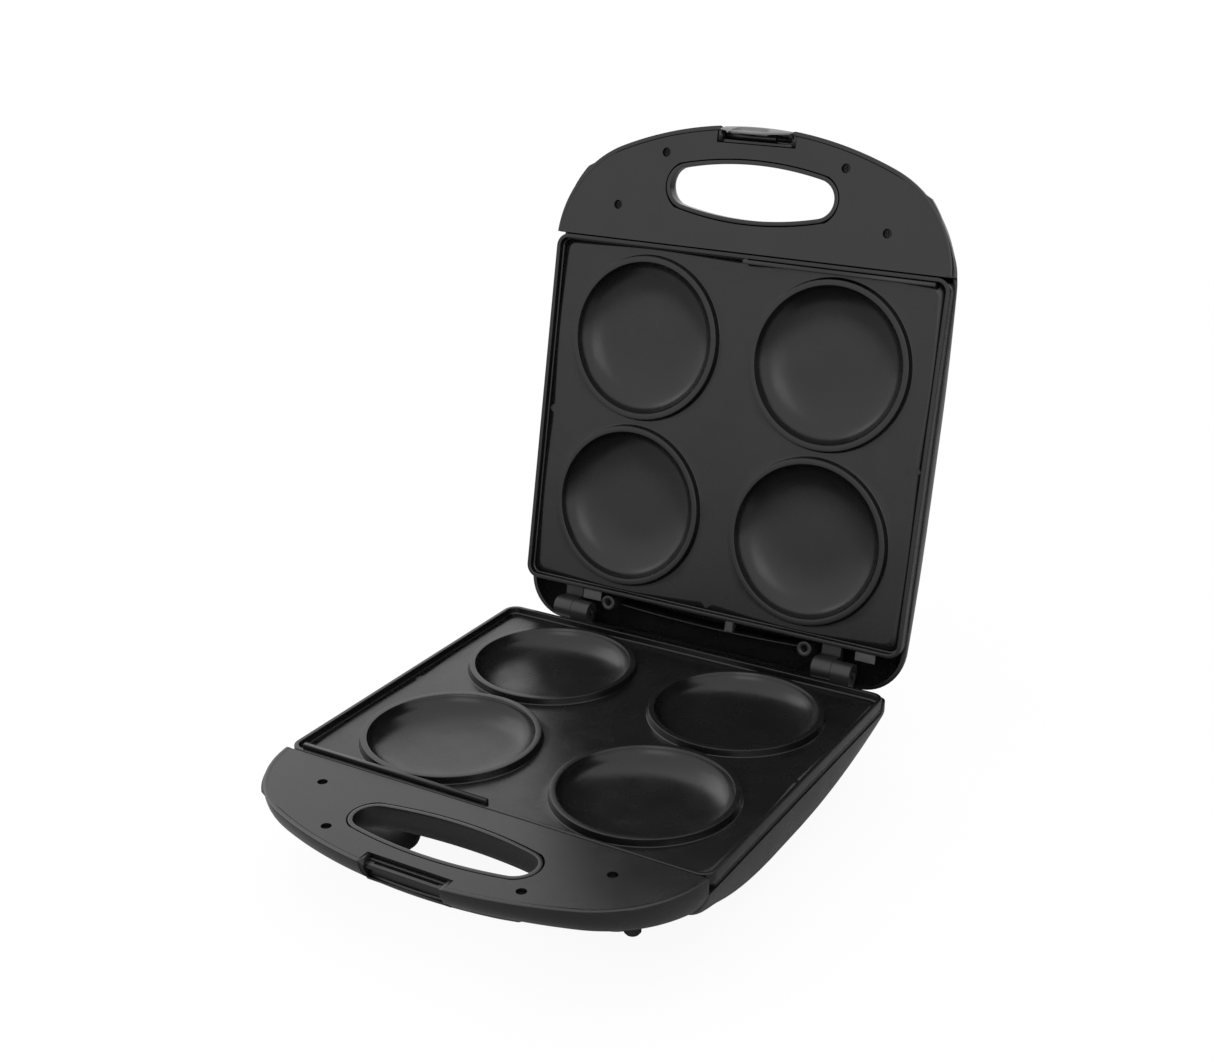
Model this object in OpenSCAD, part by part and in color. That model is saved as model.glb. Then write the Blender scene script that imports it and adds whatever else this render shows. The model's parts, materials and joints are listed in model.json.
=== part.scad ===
// Four-cup snack maker: two hinged halves, each with a cast cooking plate, held shut by a front latch.
// Lengths are in millimetres. X runs to the right, Y back towards the hinge and Z up.
// The origin lies on the resting surface, straight below the centre of the lower plate.
// Both halves are drawn below a parting plane at z = 0. The base is then lifted to its height, and
// the lid is turned over, swung open about the hinge and lifted by the same height.

/* [Cups] */
// Inside diameter of a cup at the top of its ring
cup_d = 92; // [84:0.5:92.5]
// Depth of a cup below the parting plane
cup_depth = 13; // [10:0.5:15]
// Width of the raised ring round a cup
ring_w = 3.5; // [3:0.1:4]
// Space between the rings of two cups that lie side by side
cup_gap_x = 22.6; // [20:0.2:26]
// Space between the rings of two cups that lie one behind the other
cup_gap_y = 5.2; // [4.4:0.2:5.8]

/* [Cooking plates] */
// Width of the plate, and so of the whole maker
plate_w = 255.4; // [250:0.2:270]
// Depth of the plate from front to back
plate_d = 219; // [218:0.5:236]
// Corner radius of the plate
plate_corner_r = 8; // [4:0.5:12]
// Wall of the casting
plate_t = 1.8; // [1.5:0.1:2.2]
// Drop from the parting plane to the floor between the cups
plate_drop = 3.6; // [3.2:0.1:4.4]
// Width of the rim round the plate
rim_w = 2.5; // [2.2:0.1:2.8]
// Depth of the skirt that hangs from the rim
skirt_depth = 8.5; // [8:0.1:9.4]
// Height of the drip ridge above the parting plane
ridge_rise = 2; // [1:0.1:2.4]

/* [Housing] */
// Height of the parting plane above the resting surface
base_height = 55; // [52:1:62]
// Depth of the lid above the parting plane
lid_depth = 45; // [42:1:52]
// Gap between the underside of the base and the resting surface
ground_gap = 5; // [4:0.5:7]
// Wall of both housings
wall = 2.3; // [1.9:0.1:2.6]
// Width over which the sides of a housing round in to its flat
side_round = 26; // [20:1:30]
// Length over which the front of a housing rounds in to its flat, as a boat's bow does
front_round = 90; // [70:1:96]
// Length over which the back rounds in
back_round = 104; // [80:1:108]
// Reach of the lid housing behind the plate, over the hinge
lid_tail = 24.5; // [23:0.5:30]
// How far the lid stands open
open_angle = 101.5; // [92:0.5:104]

/* [Handle] */
// Reach of the handle in front of the plate
handle_reach = 72.6; // [68:0.5:80]
// Depth of the handle below the parting plane at its front edge
handle_depth = 14; // [13.4:0.2:16]
// Slope of the handle's underside, deeper towards the plate
handle_slope = 7; // [5:0.5:8]
// Radius of the front edge
front_r = 228; // [210:1:260]
// Radius of the two shoulders
shoulder_r = 66; // [60:1:70]
// Rounding of the lower edge
edge_round = 14; // [10:0.5:16]
// Width of the grip in front of the hand hole
grip_w = 22.1; // [21:0.5:26]
// Length of the hand hole
hole_l = 105.6; // [92:1:112]
// Breadth of the hand hole at its middle
hole_b = 31.6; // [27:0.2:33]
// Thickness of the handle covers
cover_t = 2.2; // [1.8:0.1:2.6]

/* [Hinge] */
// Distance of the hinge axis behind the plate
hinge_back = 14.2; // [13.6:0.1:17]
// Radius of a knuckle
knuckle_r = 6.3; // [5:0.1:6.8]
// Diameter of a hinge pin
pin_d = 3.6; // [3:0.1:4.2]
// Hinge centres, in from each side of the plates
hinge_in = 38.7; // [32:0.1:60]
// Width of one knuckle
knuckle_w = 12; // [10:0.5:13]
// Thickness of the arm that carries a knuckle
arm_t = 5; // [4:0.1:6]

/* [Latch] */
// Width of the latch flap
latch_w = 44; // [38:1:50]
// Reach of the flap beyond the parting plane
latch_reach = 12; // [11:0.5:13]
// Diameter of the latch pin
latch_pin_d = 2; // [1.6:0.1:2.2]

/* [Heating] */
// Diameter of the tubular heating element
element_d = 6.6; // [6:0.1:7.4]
// Thickness of the reflector sheet
reflector_t = 0.8; // [0.6:0.1:1.2]

/* [Feet and small parts] */
// Diameter of a foot
foot_d = 9; // [8:0.5:11]
// Distance between the left and right feet
foot_pitch_x = 158; // [140:1:162]
// Distance between the front and back feet
foot_pitch_y = 194; // [186:1:198]
// Bore of the cord gland
gland_bore_d = 7.2; // [6:0.2:8.4]
// Diameter of the cover screws' shanks
screw_d = 3; // [2.5:0.1:3.5]

/* [Clearances] */
// Space that each half leaves to the parting plane
parting_gap = 0.3; // [0.2:0.05:0.4]
// Radial running fit of a pin in a knuckle
pin_fit = 0.05; // [0.02:0.01:0.1]
// Space between parts that are set into one another
seam = 0.4; // [0.3:0.05:0.6]

/* [Hidden] */
$fn = 96;
slice = 0.1;
// Longer than the whole maker, for cuts that clear everything on one side
beyond = 2 * (plate_w + handle_reach);

cup_r = cup_d / 2;
ring_r = cup_r + ring_w;
ring_foot_r = ring_r + 1.5;
cup_x = ring_r + cup_gap_x / 2;
cup_y = ring_r + cup_gap_y / 2;
cup_steps = 9;
ridge_t = 2.4;
ridge_end = 5.5;
ridge_l = plate_w / 2 - rim_w - ridge_end - 1;
// How far a rib or a boss is sunk into the wall it grows from
root = 0.5;

half_w = plate_w / 2;
half_d = plate_d / 2;
floor_under = plate_drop + plate_t;

shell_half_w = half_w + 0.3;
edge_drop = skirt_depth + 1;
front_y = -half_d - 0.8;
base_back_y = half_d + 2.5;
lid_back_y = half_d + lid_tail;
base_depth = base_height - ground_gap;
base_corner_r = 10;
lid_corner_r = 26;
corner_growth = 14;

arc_y = front_y - handle_reach + front_r;
shoulder_x = shell_half_w - shoulder_r;
handle_lip = 2.5;
// Deepest that the sloping underside of the handle gets, where it meets the belly
handle_deep = handle_depth + (handle_reach + 8) * sin(handle_slope) + 2;
hole_front_r = front_r - grip_w;
hole_front_y = arc_y - hole_front_r;
hole_back_y = hole_front_y + hole_b;
hole_back_r = 195;
hole_end_r = hole_b / 2 - 3.9;
hole_end_x = hole_l / 2 - hole_end_r;
hole_mid_y = (hole_front_y + hole_back_y) / 2;
tunnel_t = 2.7;

well_r = 4.2;
well_depth = cover_t + 3;
seat_t = 1.4;
screw_head_r = 2.5;
screw_head_h = 1.8;
head_gap = 0.25;
cover_screw_l = 6;
thread_r = screw_d / 2;
front_screw_angle = 15.4;
side_screw_in = 41;
side_screw_fore = 20;
front_screw_r = front_r - 11.4;
cover_screws = [
    for (s = [-1, 1]) [s * front_screw_r * sin(front_screw_angle),
                       arc_y - front_screw_r * cos(front_screw_angle)],
    for (s = [-1, 1]) [s * (shell_half_w - side_screw_in), front_y - side_screw_fore]];

element_bend = 22;
element_front = -(cup_y + 4.9);
element_back = half_d - rim_w - 27.5;
element_pin_l = 10;
element_pin_r = 1.5;
element_z = -(cup_depth + plate_t + element_d / 2);
reflector_z = element_z - element_d / 2;
reflector_half_w = half_w - 9;
reflector_front = -half_d + 21;
reflector_back = element_back - 1;
reflector_side_h = 7;
stack_z = reflector_z - reflector_t;
post_r = 5;
post_head_r = screw_head_r + 0.7;
// Wall of a post between its screw's head and the reflector
post_seat_t = 6;
plate_screw_l = post_seat_t + 8;
post_y = cup_y + 17.9;
post_spots = [[-half_w + 14.5, 0], [half_w - 14.5, 0], [0, -post_y], [0, post_y]];

hinge_y = half_d + hinge_back;
pin_r = pin_d / 2;
pin_head_r = pin_r + 0.7;
pin_head_h = 1.2;
pin_dome_h = 0.9;
hinge_x = half_w - hinge_in;
knuckle_gap = 0.3;
arm_y = half_d - 16;
arm_screw_y = half_d - 8.5;
hinge_thread_l = 2.4;
pad_x0 = hinge_x - knuckle_w - 3;
pad_x1 = hinge_x + knuckle_w + 3;
// Left ends of the knuckles. Each hinge has the lid's knuckle on the left and the base's on the right
base_leaf_x = [-hinge_x + knuckle_gap / 2, hinge_x + knuckle_gap / 2];
lid_leaf_x = [-hinge_x - knuckle_w - knuckle_gap / 2, hinge_x - knuckle_w - knuckle_gap / 2];

recess_half_w = latch_w / 2 + 1;
recess_back_y = front_y - handle_reach + 8.6;
recess_depth = latch_reach + 0.8;
pocket_t = 1.8;
latch_y = recess_back_y - 2.6;
latch_z = -8;
latch_barrel_r = 2.2;
web_t = 3.2;
latch_barrel_l = latch_w - 14;
spring_wire_r = 0.35;
spring_turns = 10;
spring_pitch = 1.6 * spring_wire_r;
spring_x = latch_w / 2 - 11;
spring_r = latch_pin_d / 2 + spring_wire_r;
wire_room = spring_wire_r + seam;
hook_x = 15;
hook_w = 5;
hook_h = 2.6;
slot_w = latch_w / 2;
slot_h = 3.6;
latch_top = 11;
flap_t = 2.2;
flap_round = 35;
keeper_top = 3;
keeper_h = 2.3;
keeper_w = 2;

foot_x = foot_pitch_x / 2;
foot_y = foot_pitch_y / 2;
foot_boss_z = -(base_height - 8);
foot_boss_h = 27;
foot_boss_r = [15.5, 25];
// The bosses stand further in than the feet, towards the middle of the base
foot_boss_in = 9;
foot_core_h = 8;
foot_core_r = 5;
foot_stem_r = 2.5;
foot_round = 1.2;
lamp_x = 12;
lamp_y = -40;
lens_r = 3.5;
lens_rise = 0.6;
lamp_holder_end = 10;
lamp_holder_d = 14;
lamp_holder_h = 9;
tail_boss_x = 67.5;
tail_boss_r = 3.6;
tail_boss_bore_r = 1.6;
tail_boss_bore_l = 10;
tail_boss_y = half_d + 5;
tail_rib_t = 2;
tail_rib_y = half_d + 3;
tail_rib_h = lid_depth / 3;
thermostat_r = 8.5;
thermostat_h = 10;
thermostat_tab = [5, 6, 0.8];
fuse_r = 2.2;
fuse_l = 18;
block_size = [32, 14, 11];
block_pitch = 10;
block_hole_r = 2.4;
gland_x = 30;
gland_z = -20;
gland_r = gland_bore_d / 2 + 3.9;
gland_l = 19;
gland_in = 16;
gland_flange_t = 2.6;
gland_flange_w = 1.6;

// How far back the open lid reaches, at the edge of its lamps
open_back = hinge_y + (lid_depth + lens_rise) * sin(open_angle)
    + (lamp_y - lens_r - hinge_y) * cos(open_angle);
// The origin lies below the middle of the open maker, and the plates' centre this far in front of it
plate_y = -(front_y - handle_reach + open_back) / 2;

// ---- Frames -------------------------------------------------------------------------------------

// Lifts a piece of the base from the parting plane to its real height
module in_base() {
    translate([0, plate_y, base_height]) children();
}

// Turns a piece drawn below the parting plane into the closed lid, then swings it open
module in_lid() {
    translate([0, plate_y + hinge_y, base_height])
        rotate([-open_angle, 0, 0])
            translate([0, -hinge_y, 0])
                children();
}

module mirrored_up() {
    mirror([0, 0, 1]) children();
}

// ---- Outlines -----------------------------------------------------------------------------------

module rounded_rect(half_x, half_y, r) {
    square([2 * (half_x - r), 2 * half_y], center = true);
    square([2 * half_x, 2 * (half_y - r)], center = true);
    for (sx = [-1, 1], sy = [-1, 1])
        translate([sx * (half_x - r), sy * (half_y - r)]) circle(r);
}

// Handle seen from above, drawn in by inset: a long front arc that meets two round shoulders
module handle_plan(inset, back, front_fn = 240, shoulder_fn = 96) {
    intersection() {
        translate([0, arc_y]) circle(front_r - inset, $fn = front_fn);
        union() {
            for (s = [-1, 1])
                translate([s * shoulder_x, front_y]) circle(shoulder_r - inset, $fn = shoulder_fn);
            middle = shoulder_x + (shoulder_r - inset) / 4;
            translate([-middle, front_y - beyond]) square([2 * middle, beyond + back]);
        }
        translate([-beyond / 2, front_y - beyond]) square([beyond, beyond + back]);
    }
}

// Hand hole seen from above, widened by grow: two arcs and two round ends
module hole_plan(grow) {
    intersection() {
        translate([0, arc_y]) circle(hole_front_r + grow, $fn = 240);
        translate([0, hole_back_y - hole_back_r]) circle(hole_back_r + grow, $fn = 240);
        union() {
            for (s = [-1, 1])
                translate([s * hole_end_x, hole_mid_y]) circle(hole_end_r + grow);
            square_h = hole_b + 2 * grow + 8;
            translate([-hole_end_x, hole_mid_y - square_h / 2]) square([2 * hole_end_x, square_h]);
        }
    }
}

// ---- Housings -----------------------------------------------------------------------------------

// Bowl of a housing: its sides leave the edge upright and round in to a flat, as a quarter ellipse
module belly_form(depth, back_y, back_r, inset, rise) {
    h = depth - edge_drop - inset;
    hull()
        for (a = [-1, 0, 18, 36, 54, 72, 90]) {
            turn = max(a, 0);
            in_x = inset + side_round * (1 - cos(turn));
            in_front = inset + front_round * (1 - cos(turn));
            in_back = inset + back_round * (1 - cos(turn));
            grow = corner_growth * (1 - cos(turn));
            z = a < 0 ? -edge_drop + rise : -edge_drop - h * sin(turn);
            front_corner = base_corner_r + grow;
            back_corner = back_r + grow;
            for (s = [-1, 1]) {
                translate([s * (shell_half_w - in_x - front_corner), front_y + in_front + front_corner, z])
                    cylinder(h = slice, r = front_corner, $fn = 32);
                translate([s * (shell_half_w - in_x - back_corner), back_y - in_back - back_corner, z])
                    cylinder(h = slice, r = back_corner, $fn = 32);
            }
        }
}

// Outside or inside of the handle, with its rounded lower edge
module handle_form(inset, back, rise) {
    h = handle_depth - handle_lip - inset;
    hull()
        for (a = [-1, 0, 18, 36, 54, 72, 90]) {
            turn = max(a, 0);
            z = a < 0 ? rise : -handle_lip - h * sin(turn);
            translate([0, arc_y - front_r, z - slice])
                rotate([-handle_slope * sin(turn), 0, 0])
                    translate([0, front_r - arc_y, 0])
                        linear_extrude(slice)
                            handle_plan(inset + edge_round * (1 - cos(turn)), back, 120, 48);
        }
}

// Block behind the front edge that the latch is set into
module latch_pocket_block(grow) {
    half = recess_half_w + pocket_t + grow;
    low = -recess_depth - pocket_t - grow;
    translate([-half, arc_y - front_r, low])
        cube([2 * half, recess_back_y + pocket_t + grow - arc_y + front_r, -low + 5]);
}

module latch_recess() {
    translate([-recess_half_w, arc_y - front_r - 5, -recess_depth])
        cube([2 * recess_half_w, recess_back_y - arc_y + front_r + 5, recess_depth + 5]);
}

// One housing below the parting plane, with its hand hole, screw bosses and plate posts. Its first
// child is added outside it, and its second is what stays standing inside it
module housing(depth, back_y, back_r) {
    difference() {
        union() {
            belly_form(depth, back_y, back_r, 0, 0);
            handle_form(0, 8, -parting_gap);
            children(0);
        }
        difference() {
            union() {
                belly_form(depth, back_y, back_r, wall, 1);
                handle_form(wall, -wall, 1);
            }
            translate([0, 0, -handle_deep]) linear_extrude(handle_deep + 5) hole_plan(tunnel_t);
            latch_pocket_block(0);
            for (p = cover_screws)
                translate([p[0], p[1], -handle_deep])
                    cylinder(h = handle_deep - well_depth - parting_gap, r = well_r);
            for (p = post_spots)
                translate([p[0], p[1], -depth]) cylinder(h = depth + stack_z, r = post_r);
            children(1);
        }
        // Over the belly the housing stops below the plate's skirt
        translate([-beyond / 2, front_y, -edge_drop]) cube([beyond, beyond, edge_drop + 5]);
        // The bulkhead behind the handle stays under the cover
        translate([-shell_half_w + wall + seam, front_y - wall - 1, -cover_t - parting_gap])
            cube([2 * (shell_half_w - wall - seam), wall + 2, 10]);
        translate([0, 0, -handle_deep - 1]) linear_extrude(handle_deep + 2) hole_plan(0);
        latch_recess();
        translate([-recess_half_w - 1.2, latch_y, latch_z])
            rotate([0, 90, 0]) cylinder(h = 2 * recess_half_w + 2.4, r = latch_pin_d / 2);
        for (p = cover_screws)
            translate([p[0], p[1], -well_depth - cover_screw_l]) cylinder(h = handle_deep, r = thread_r);
        // Each post is drilled for its screw, whose head sinks in from outside
        for (p = post_spots) {
            translate([p[0], p[1], -depth - 1]) cylinder(h = depth + 2, r = thread_r);
            translate([p[0], p[1], -depth - 1])
                cylinder(h = depth + 1 + stack_z - post_seat_t, r = post_head_r);
        }
    }
}

// Tapered boss that carries a foot down from the rounded underside
module foot_boss(sx, sy) {
    intersection() {
        translate([sx * (foot_x - foot_boss_in), sy * (foot_y + 1), foot_boss_z])
            cylinder(h = foot_boss_h, r1 = foot_boss_r[0], r2 = foot_boss_r[1]);
        translate([-beyond / 2, front_y - 6, -base_height])
            cube([beyond, base_back_y - front_y + 2, base_height]);
    }
}

module base_shell() {
    color("#2b2b2c")
        in_base()
            difference() {
                housing(base_depth, base_back_y, base_corner_r) {
                    for (sx = [-1, 1], sy = [-1, 1])
                        foot_boss(sx, sy);
                    // A solid core in each boss holds the stem of its foot
                    for (sx = [-1, 1], sy = [-1, 1])
                        translate([sx * foot_x, sy * foot_y, foot_boss_z])
                            cylinder(h = foot_core_h, r = foot_core_r);
                }
                for (sx = [-1, 1], sy = [-1, 1])
                    translate([sx * foot_x, sy * foot_y, foot_boss_z - 1])
                        cylinder(h = 1 + foot_core_h - 3, r = foot_stem_r);
                // Slots for the hinge arms in the back wall
                for (x0 = base_leaf_x)
                    translate([x0 - seam, base_back_y - 12, -skirt_depth - arm_t - seam])
                        cube([knuckle_w + 2 * seam, 20, arm_t + 10]);
                translate([gland_x, base_back_y - gland_l, gland_z])
                    rotate([-90, 0, 0]) cylinder(h = 2 * gland_l, r = gland_r);
            }
}

// Hollow boss inside the tail of the lid
module tail_boss() {
    length = lid_depth - edge_drop;
    translate([0, tail_boss_y, -lid_depth])
        difference() {
            cylinder(h = length, r = tail_boss_r);
            translate([0, 0, length - tail_boss_bore_l])
                cylinder(h = tail_boss_bore_l + 1, r = tail_boss_bore_r);
        }
}

module lid_shell() {
    color("#2b2b2c")
        in_lid()
            mirrored_up()
                difference() {
                    housing(lid_depth, lid_back_y, lid_corner_r) {
                        union() {}
                        union() {
                            for (s = [-1, 1])
                                translate([s * tail_boss_x, 0, 0]) tail_boss();
                            translate([-tail_rib_t / 2, tail_rib_y, -lid_depth])
                                cube([tail_rib_t, lid_back_y - tail_rib_y, tail_rib_h]);
                        }
                    }
                    for (s = [-1, 1])
                        translate([s * lamp_x, lamp_y, -lid_depth - 1]) cylinder(h = wall + 2, r = lens_r);
                }
}

// ---- Handle covers and their screws -------------------------------------------------------------

module handle_cover() {
    translate([0, 0, -parting_gap])
        difference() {
            union() {
                translate([0, 0, -cover_t]) linear_extrude(cover_t) handle_plan(wall + seam, 0);
                for (p = cover_screws)
                    translate([p[0], p[1], -well_depth]) cylinder(h = well_depth, r = well_r);
            }
            translate([0, 0, -cover_t - 1]) linear_extrude(cover_t + 2) hole_plan(tunnel_t + seam);
            latch_pocket_block(seam);
            for (p = cover_screws) {
                translate([p[0], p[1], -well_depth + seat_t]) cylinder(h = 10, r = screw_head_r + head_gap);
                translate([p[0], p[1], -well_depth - 1]) cylinder(h = 5, r = thread_r);
            }
        }
}

// Pan-head screw that hangs below its seat at z = 0, with a cross recess
module screw(length) {
    difference() {
        union() {
            cylinder(h = screw_head_h, r = screw_head_r, $fn = 32);
            translate([0, 0, -length]) cylinder(h = length + 0.1, r = thread_r, $fn = 32);
        }
        for (a = [0, 90])
            rotate(a) translate([-1.6, -0.3, screw_head_h - 0.9]) cube([3.2, 0.6, 1]);
    }
}

module cover_screw_set() {
    for (p = cover_screws)
        translate([p[0], p[1], -parting_gap - well_depth + seat_t]) screw(cover_screw_l);
}

// Screws that clamp housing, reflector and plate together at the four posts, heads outwards
module plate_screw_set() {
    for (p = post_spots)
        translate([p[0], p[1], stack_z - post_seat_t]) mirror([0, 0, 1]) screw(plate_screw_l);
}

module base_handle_cover() {
    color("#3a3a3b") in_base() handle_cover();
}

module lid_handle_cover() {
    color("#3a3a3b") in_lid() mirrored_up() handle_cover();
}

module base_cover_screws() {
    color("#1c1c1d") in_base() cover_screw_set();
}

module lid_cover_screws() {
    color("#1c1c1d") in_lid() mirrored_up() cover_screw_set();
}

module base_plate_screws() {
    color("silver") in_base() plate_screw_set();
}

module lid_plate_screws() {
    color("silver") in_lid() mirrored_up() plate_screw_set();
}

// ---- Cooking plates -----------------------------------------------------------------------------

// Section of a cup from its centre out: steep at the ring, then a shallow dish
function bowl_line(r, lower) = [
    for (i = [0 : cup_steps])
        let (t = sin(90 * i / cup_steps))
            [r * t, -lower - cup_depth * pow(1 - pow(t, 2.6), 0.6)]];

module cup_solid() {
    under = [for (p = bowl_line(cup_r + plate_t, plate_t)) if (p[1] < -floor_under) p];
    rotate_extrude()
        polygon(concat(under, [
            [cup_r + plate_t, -floor_under], [ring_foot_r, -floor_under], [ring_foot_r, -plate_drop],
            [ring_r + 0.4, -plate_drop + 1.2], [ring_r, -parting_gap - 0.6],
            [ring_r - 0.7, -parting_gap], [0, -parting_gap]]));
}

module cup_hollow() {
    rotate_extrude() polygon(concat(bowl_line(cup_r, 0), [[cup_r + 0.6, 1], [0, 1]]));
}

// Casting with four cups, a rim and skirt, screw posts and hinge pads. The same casting serves both halves
module cooking_plate() {
    difference() {
        union() {
            difference() {
                translate([0, 0, -skirt_depth])
                    linear_extrude(skirt_depth - parting_gap) rounded_rect(half_w, half_d, plate_corner_r);
                translate([0, 0, -plate_drop])
                    linear_extrude(10)
                        rounded_rect(half_w - rim_w, half_d - rim_w, plate_corner_r - rim_w);
                translate([0, 0, -skirt_depth - 1])
                    linear_extrude(skirt_depth + 1 - floor_under)
                        rounded_rect(half_w - rim_w, half_d - rim_w, plate_corner_r - rim_w);
            }
            for (sx = [-1, 1], sy = [-1, 1])
                translate([sx * cup_x, sy * cup_y, 0]) cup_solid();
            for (p = post_spots)
                translate([p[0], p[1], reflector_z])
                    cylinder(h = -reflector_z - plate_drop - root, r = post_r);
            for (s = [-1, 1])
                translate([s > 0 ? pad_x0 : -pad_x1, arm_y, -skirt_depth])
                    cube([pad_x1 - pad_x0, half_d - rim_w - arm_y + 1, skirt_depth - plate_drop - root]);
            drip_ridge();
        }
        for (sx = [-1, 1], sy = [-1, 1])
            translate([sx * cup_x, sy * cup_y, 0]) cup_hollow();
        for (p = post_spots)
            translate([p[0], p[1], reflector_z - 1]) cylinder(h = 10, r = thread_r);
        for (x = concat(base_leaf_x, -lid_leaf_x - [knuckle_w, knuckle_w]))
            translate([x + knuckle_w / 2, arm_screw_y, -skirt_depth - 1])
                cylinder(h = 1 + hinge_thread_l, r = thread_r);
    }
}

// Ridge inside the front rim of one half of the width. It nests inside the rim of the other plate
module drip_ridge() {
    inner_y = -half_d + rim_w + seam;
    translate([-half_w + rim_w + ridge_end, inner_y, -plate_drop - root])
        cube([ridge_l, ridge_t, plate_drop + root + ridge_rise]);
    translate([-half_w + rim_w + ridge_end, inner_y - seam - root, -plate_drop - root])
        cube([ridge_l, ridge_t - seam, plate_drop + root - parting_gap]);
}

module base_plate() {
    color("#343435") in_base() cooking_plate();
}

module lid_plate() {
    color("#343435") in_lid() rotate([0, 180, 0]) cooking_plate();
}

// ---- Heating ------------------------------------------------------------------------------------

// Sheathed tube bent to a U below the cups, with a terminal pin at each end
module heating_element() {
    r = element_d / 2;
    bend = element_bend;
    translate([0, 0, element_z]) {
        for (s = [-1, 1]) {
            translate([s * cup_x, element_back, 0])
                rotate([90, 0, 0]) cylinder(h = element_back - element_front - bend, r = r);
            translate([s * cup_x, element_back + element_pin_l - 1, 0])
                rotate([90, 0, 0]) cylinder(h = element_pin_l, r = element_pin_r);
            translate([s * (cup_x - bend), element_front + bend, 0])
                rotate(s > 0 ? -90 : 180) rotate_extrude(angle = 90) translate([bend, 0]) circle(r);
        }
        translate([-cup_x + bend, element_front, 0])
            rotate([0, 90, 0]) cylinder(h = 2 * (cup_x - bend), r = r);
    }
}

// Sheet under the element, with turned-up sides
module reflector() {
    w = reflector_half_w;
    length = reflector_back - reflector_front;
    translate([0, 0, stack_z])
        difference() {
            union() {
                translate([-w, reflector_front, 0]) cube([2 * w, length, reflector_t]);
                for (s = [-1, 1])
                    translate([s * (w - reflector_t / 2) - reflector_t / 2, reflector_front, 0])
                        cube([reflector_t, length, reflector_side_h]);
            }
            for (p = post_spots)
                translate([p[0], p[1], -1]) cylinder(h = reflector_t + 2, r = thread_r + 0.2);
        }
}

module base_heating_element() {
    color("dimgray") in_base() heating_element();
}

module lid_heating_element() {
    color("dimgray") in_lid() mirrored_up() heating_element();
}

module base_reflector() {
    color("silver") in_base() reflector();
}

module lid_reflector() {
    color("silver") in_lid() mirrored_up() reflector();
}

// Snap-disc thermostat against the underside of the lower plate
module thermostat() {
    color("#c8b890")
        in_base()
            translate([0, thermostat_r + 5.5, -floor_under - thermostat_h]) {
                cylinder(h = thermostat_h, r = thermostat_r);
                for (s = [-1, 1])
                    translate([s * (thermostat_r + 1.5), 0, 3.4]) cube(thermostat_tab, center = true);
            }
}

// Safety fuse in its sleeve, against the underside of the lower plate
module thermal_fuse() {
    color("whitesmoke")
        in_base()
            translate([-fuse_l / 2, -14, -floor_under - fuse_r])
                rotate([0, 90, 0]) cylinder(h = fuse_l, r = fuse_r);
}

module terminal_block() {
    color("ivory")
        in_base()
            translate([gland_x - block_size[0] / 2, -15, -base_depth + wall])
                difference() {
                    cube(block_size);
                    for (i = [-1 : 1])
                        translate(block_size / 2 + [i * block_pitch, 0, 0])
                            cylinder(h = block_size[2], r = block_hole_r);
                }
}

// Bush that the mains cord enters through
module cord_gland() {
    color("#202021")
        in_base()
            translate([gland_x, base_back_y - gland_in, gland_z])
                rotate([-90, 0, 0])
                    difference() {
                        union() {
                            cylinder(h = gland_l, r = gland_r);
                            translate([0, 0, gland_l - gland_flange_t])
                                cylinder(h = gland_flange_t, r = gland_r + gland_flange_w);
                        }
                        translate([0, 0, -1]) cylinder(h = gland_l + 2, r = gland_bore_d / 2);
                    }
}

// ---- Feet ---------------------------------------------------------------------------------------

// Rubber foot with a stem that presses into its boss
module foot(sx, sy) {
    color("#161617")
        in_base()
            translate([sx * foot_x, sy * foot_y, -base_height]) {
                height = base_height + foot_boss_z;
                cylinder(h = foot_round, r1 = foot_d / 2 - 1, r2 = foot_d / 2);
                translate([0, 0, foot_round]) cylinder(h = height - foot_round, r = foot_d / 2);
                translate([0, 0, height / 2]) cylinder(h = height / 2 + foot_core_h - 3.2, r = foot_stem_r);
            }
}

module foot_front_left() {
    foot(-1, -1);
}

module foot_front_right() {
    foot(1, -1);
}

module foot_back_left() {
    foot(-1, 1);
}

module foot_back_right() {
    foot(1, 1);
}

// ---- Hinges -------------------------------------------------------------------------------------

// Knuckle on an arm that runs in below the plate's skirt
module hinge_leaf(x0, bore_r) {
    translate([x0, 0, 0])
        difference() {
            rotate([90, 0, 90])
                linear_extrude(knuckle_w)
                    difference() {
                        union() {
                            translate([hinge_y, 0]) circle(knuckle_r);
                            polygon([
                                [arm_y, -skirt_depth], [arm_y, -skirt_depth - arm_t],
                                [hinge_y - 2, -skirt_depth - arm_t], [hinge_y + knuckle_r - 0.6, -2],
                                [hinge_y - knuckle_r, 0], [hinge_y - knuckle_r, -skirt_depth]]);
                        }
                        translate([hinge_y, 0]) circle(bore_r);
                    }
            translate([knuckle_w / 2, arm_screw_y, -skirt_depth - arm_t - 1])
                cylinder(h = arm_t + 2, r = thread_r);
        }
}

module hinge_screw_set(leaves) {
    for (x = leaves)
        translate([x + knuckle_w / 2, arm_screw_y, -skirt_depth - arm_t])
            mirror([0, 0, 1]) screw(arm_t + hinge_thread_l - 0.4);
}

// Pin fixed in the base's knuckle, with a domed head on its right end
module hinge_pin(x) {
    head_x = x + knuckle_gap / 2 + knuckle_w;
    color("#3c3c3d")
        in_base()
            translate([0, hinge_y, 0]) {
                shank = 2 * knuckle_w + knuckle_gap + 0.8;
                translate([head_x - shank, 0, 0]) rotate([0, 90, 0]) cylinder(h = shank, r = pin_r);
                translate([head_x, 0, 0])
                    rotate([0, 90, 0]) {
                        cylinder(h = pin_head_h, r = pin_head_r);
                        translate([0, 0, pin_head_h])
                            cylinder(h = pin_dome_h, r1 = pin_head_r, r2 = pin_r - 0.4);
                    }
            }
}

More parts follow.
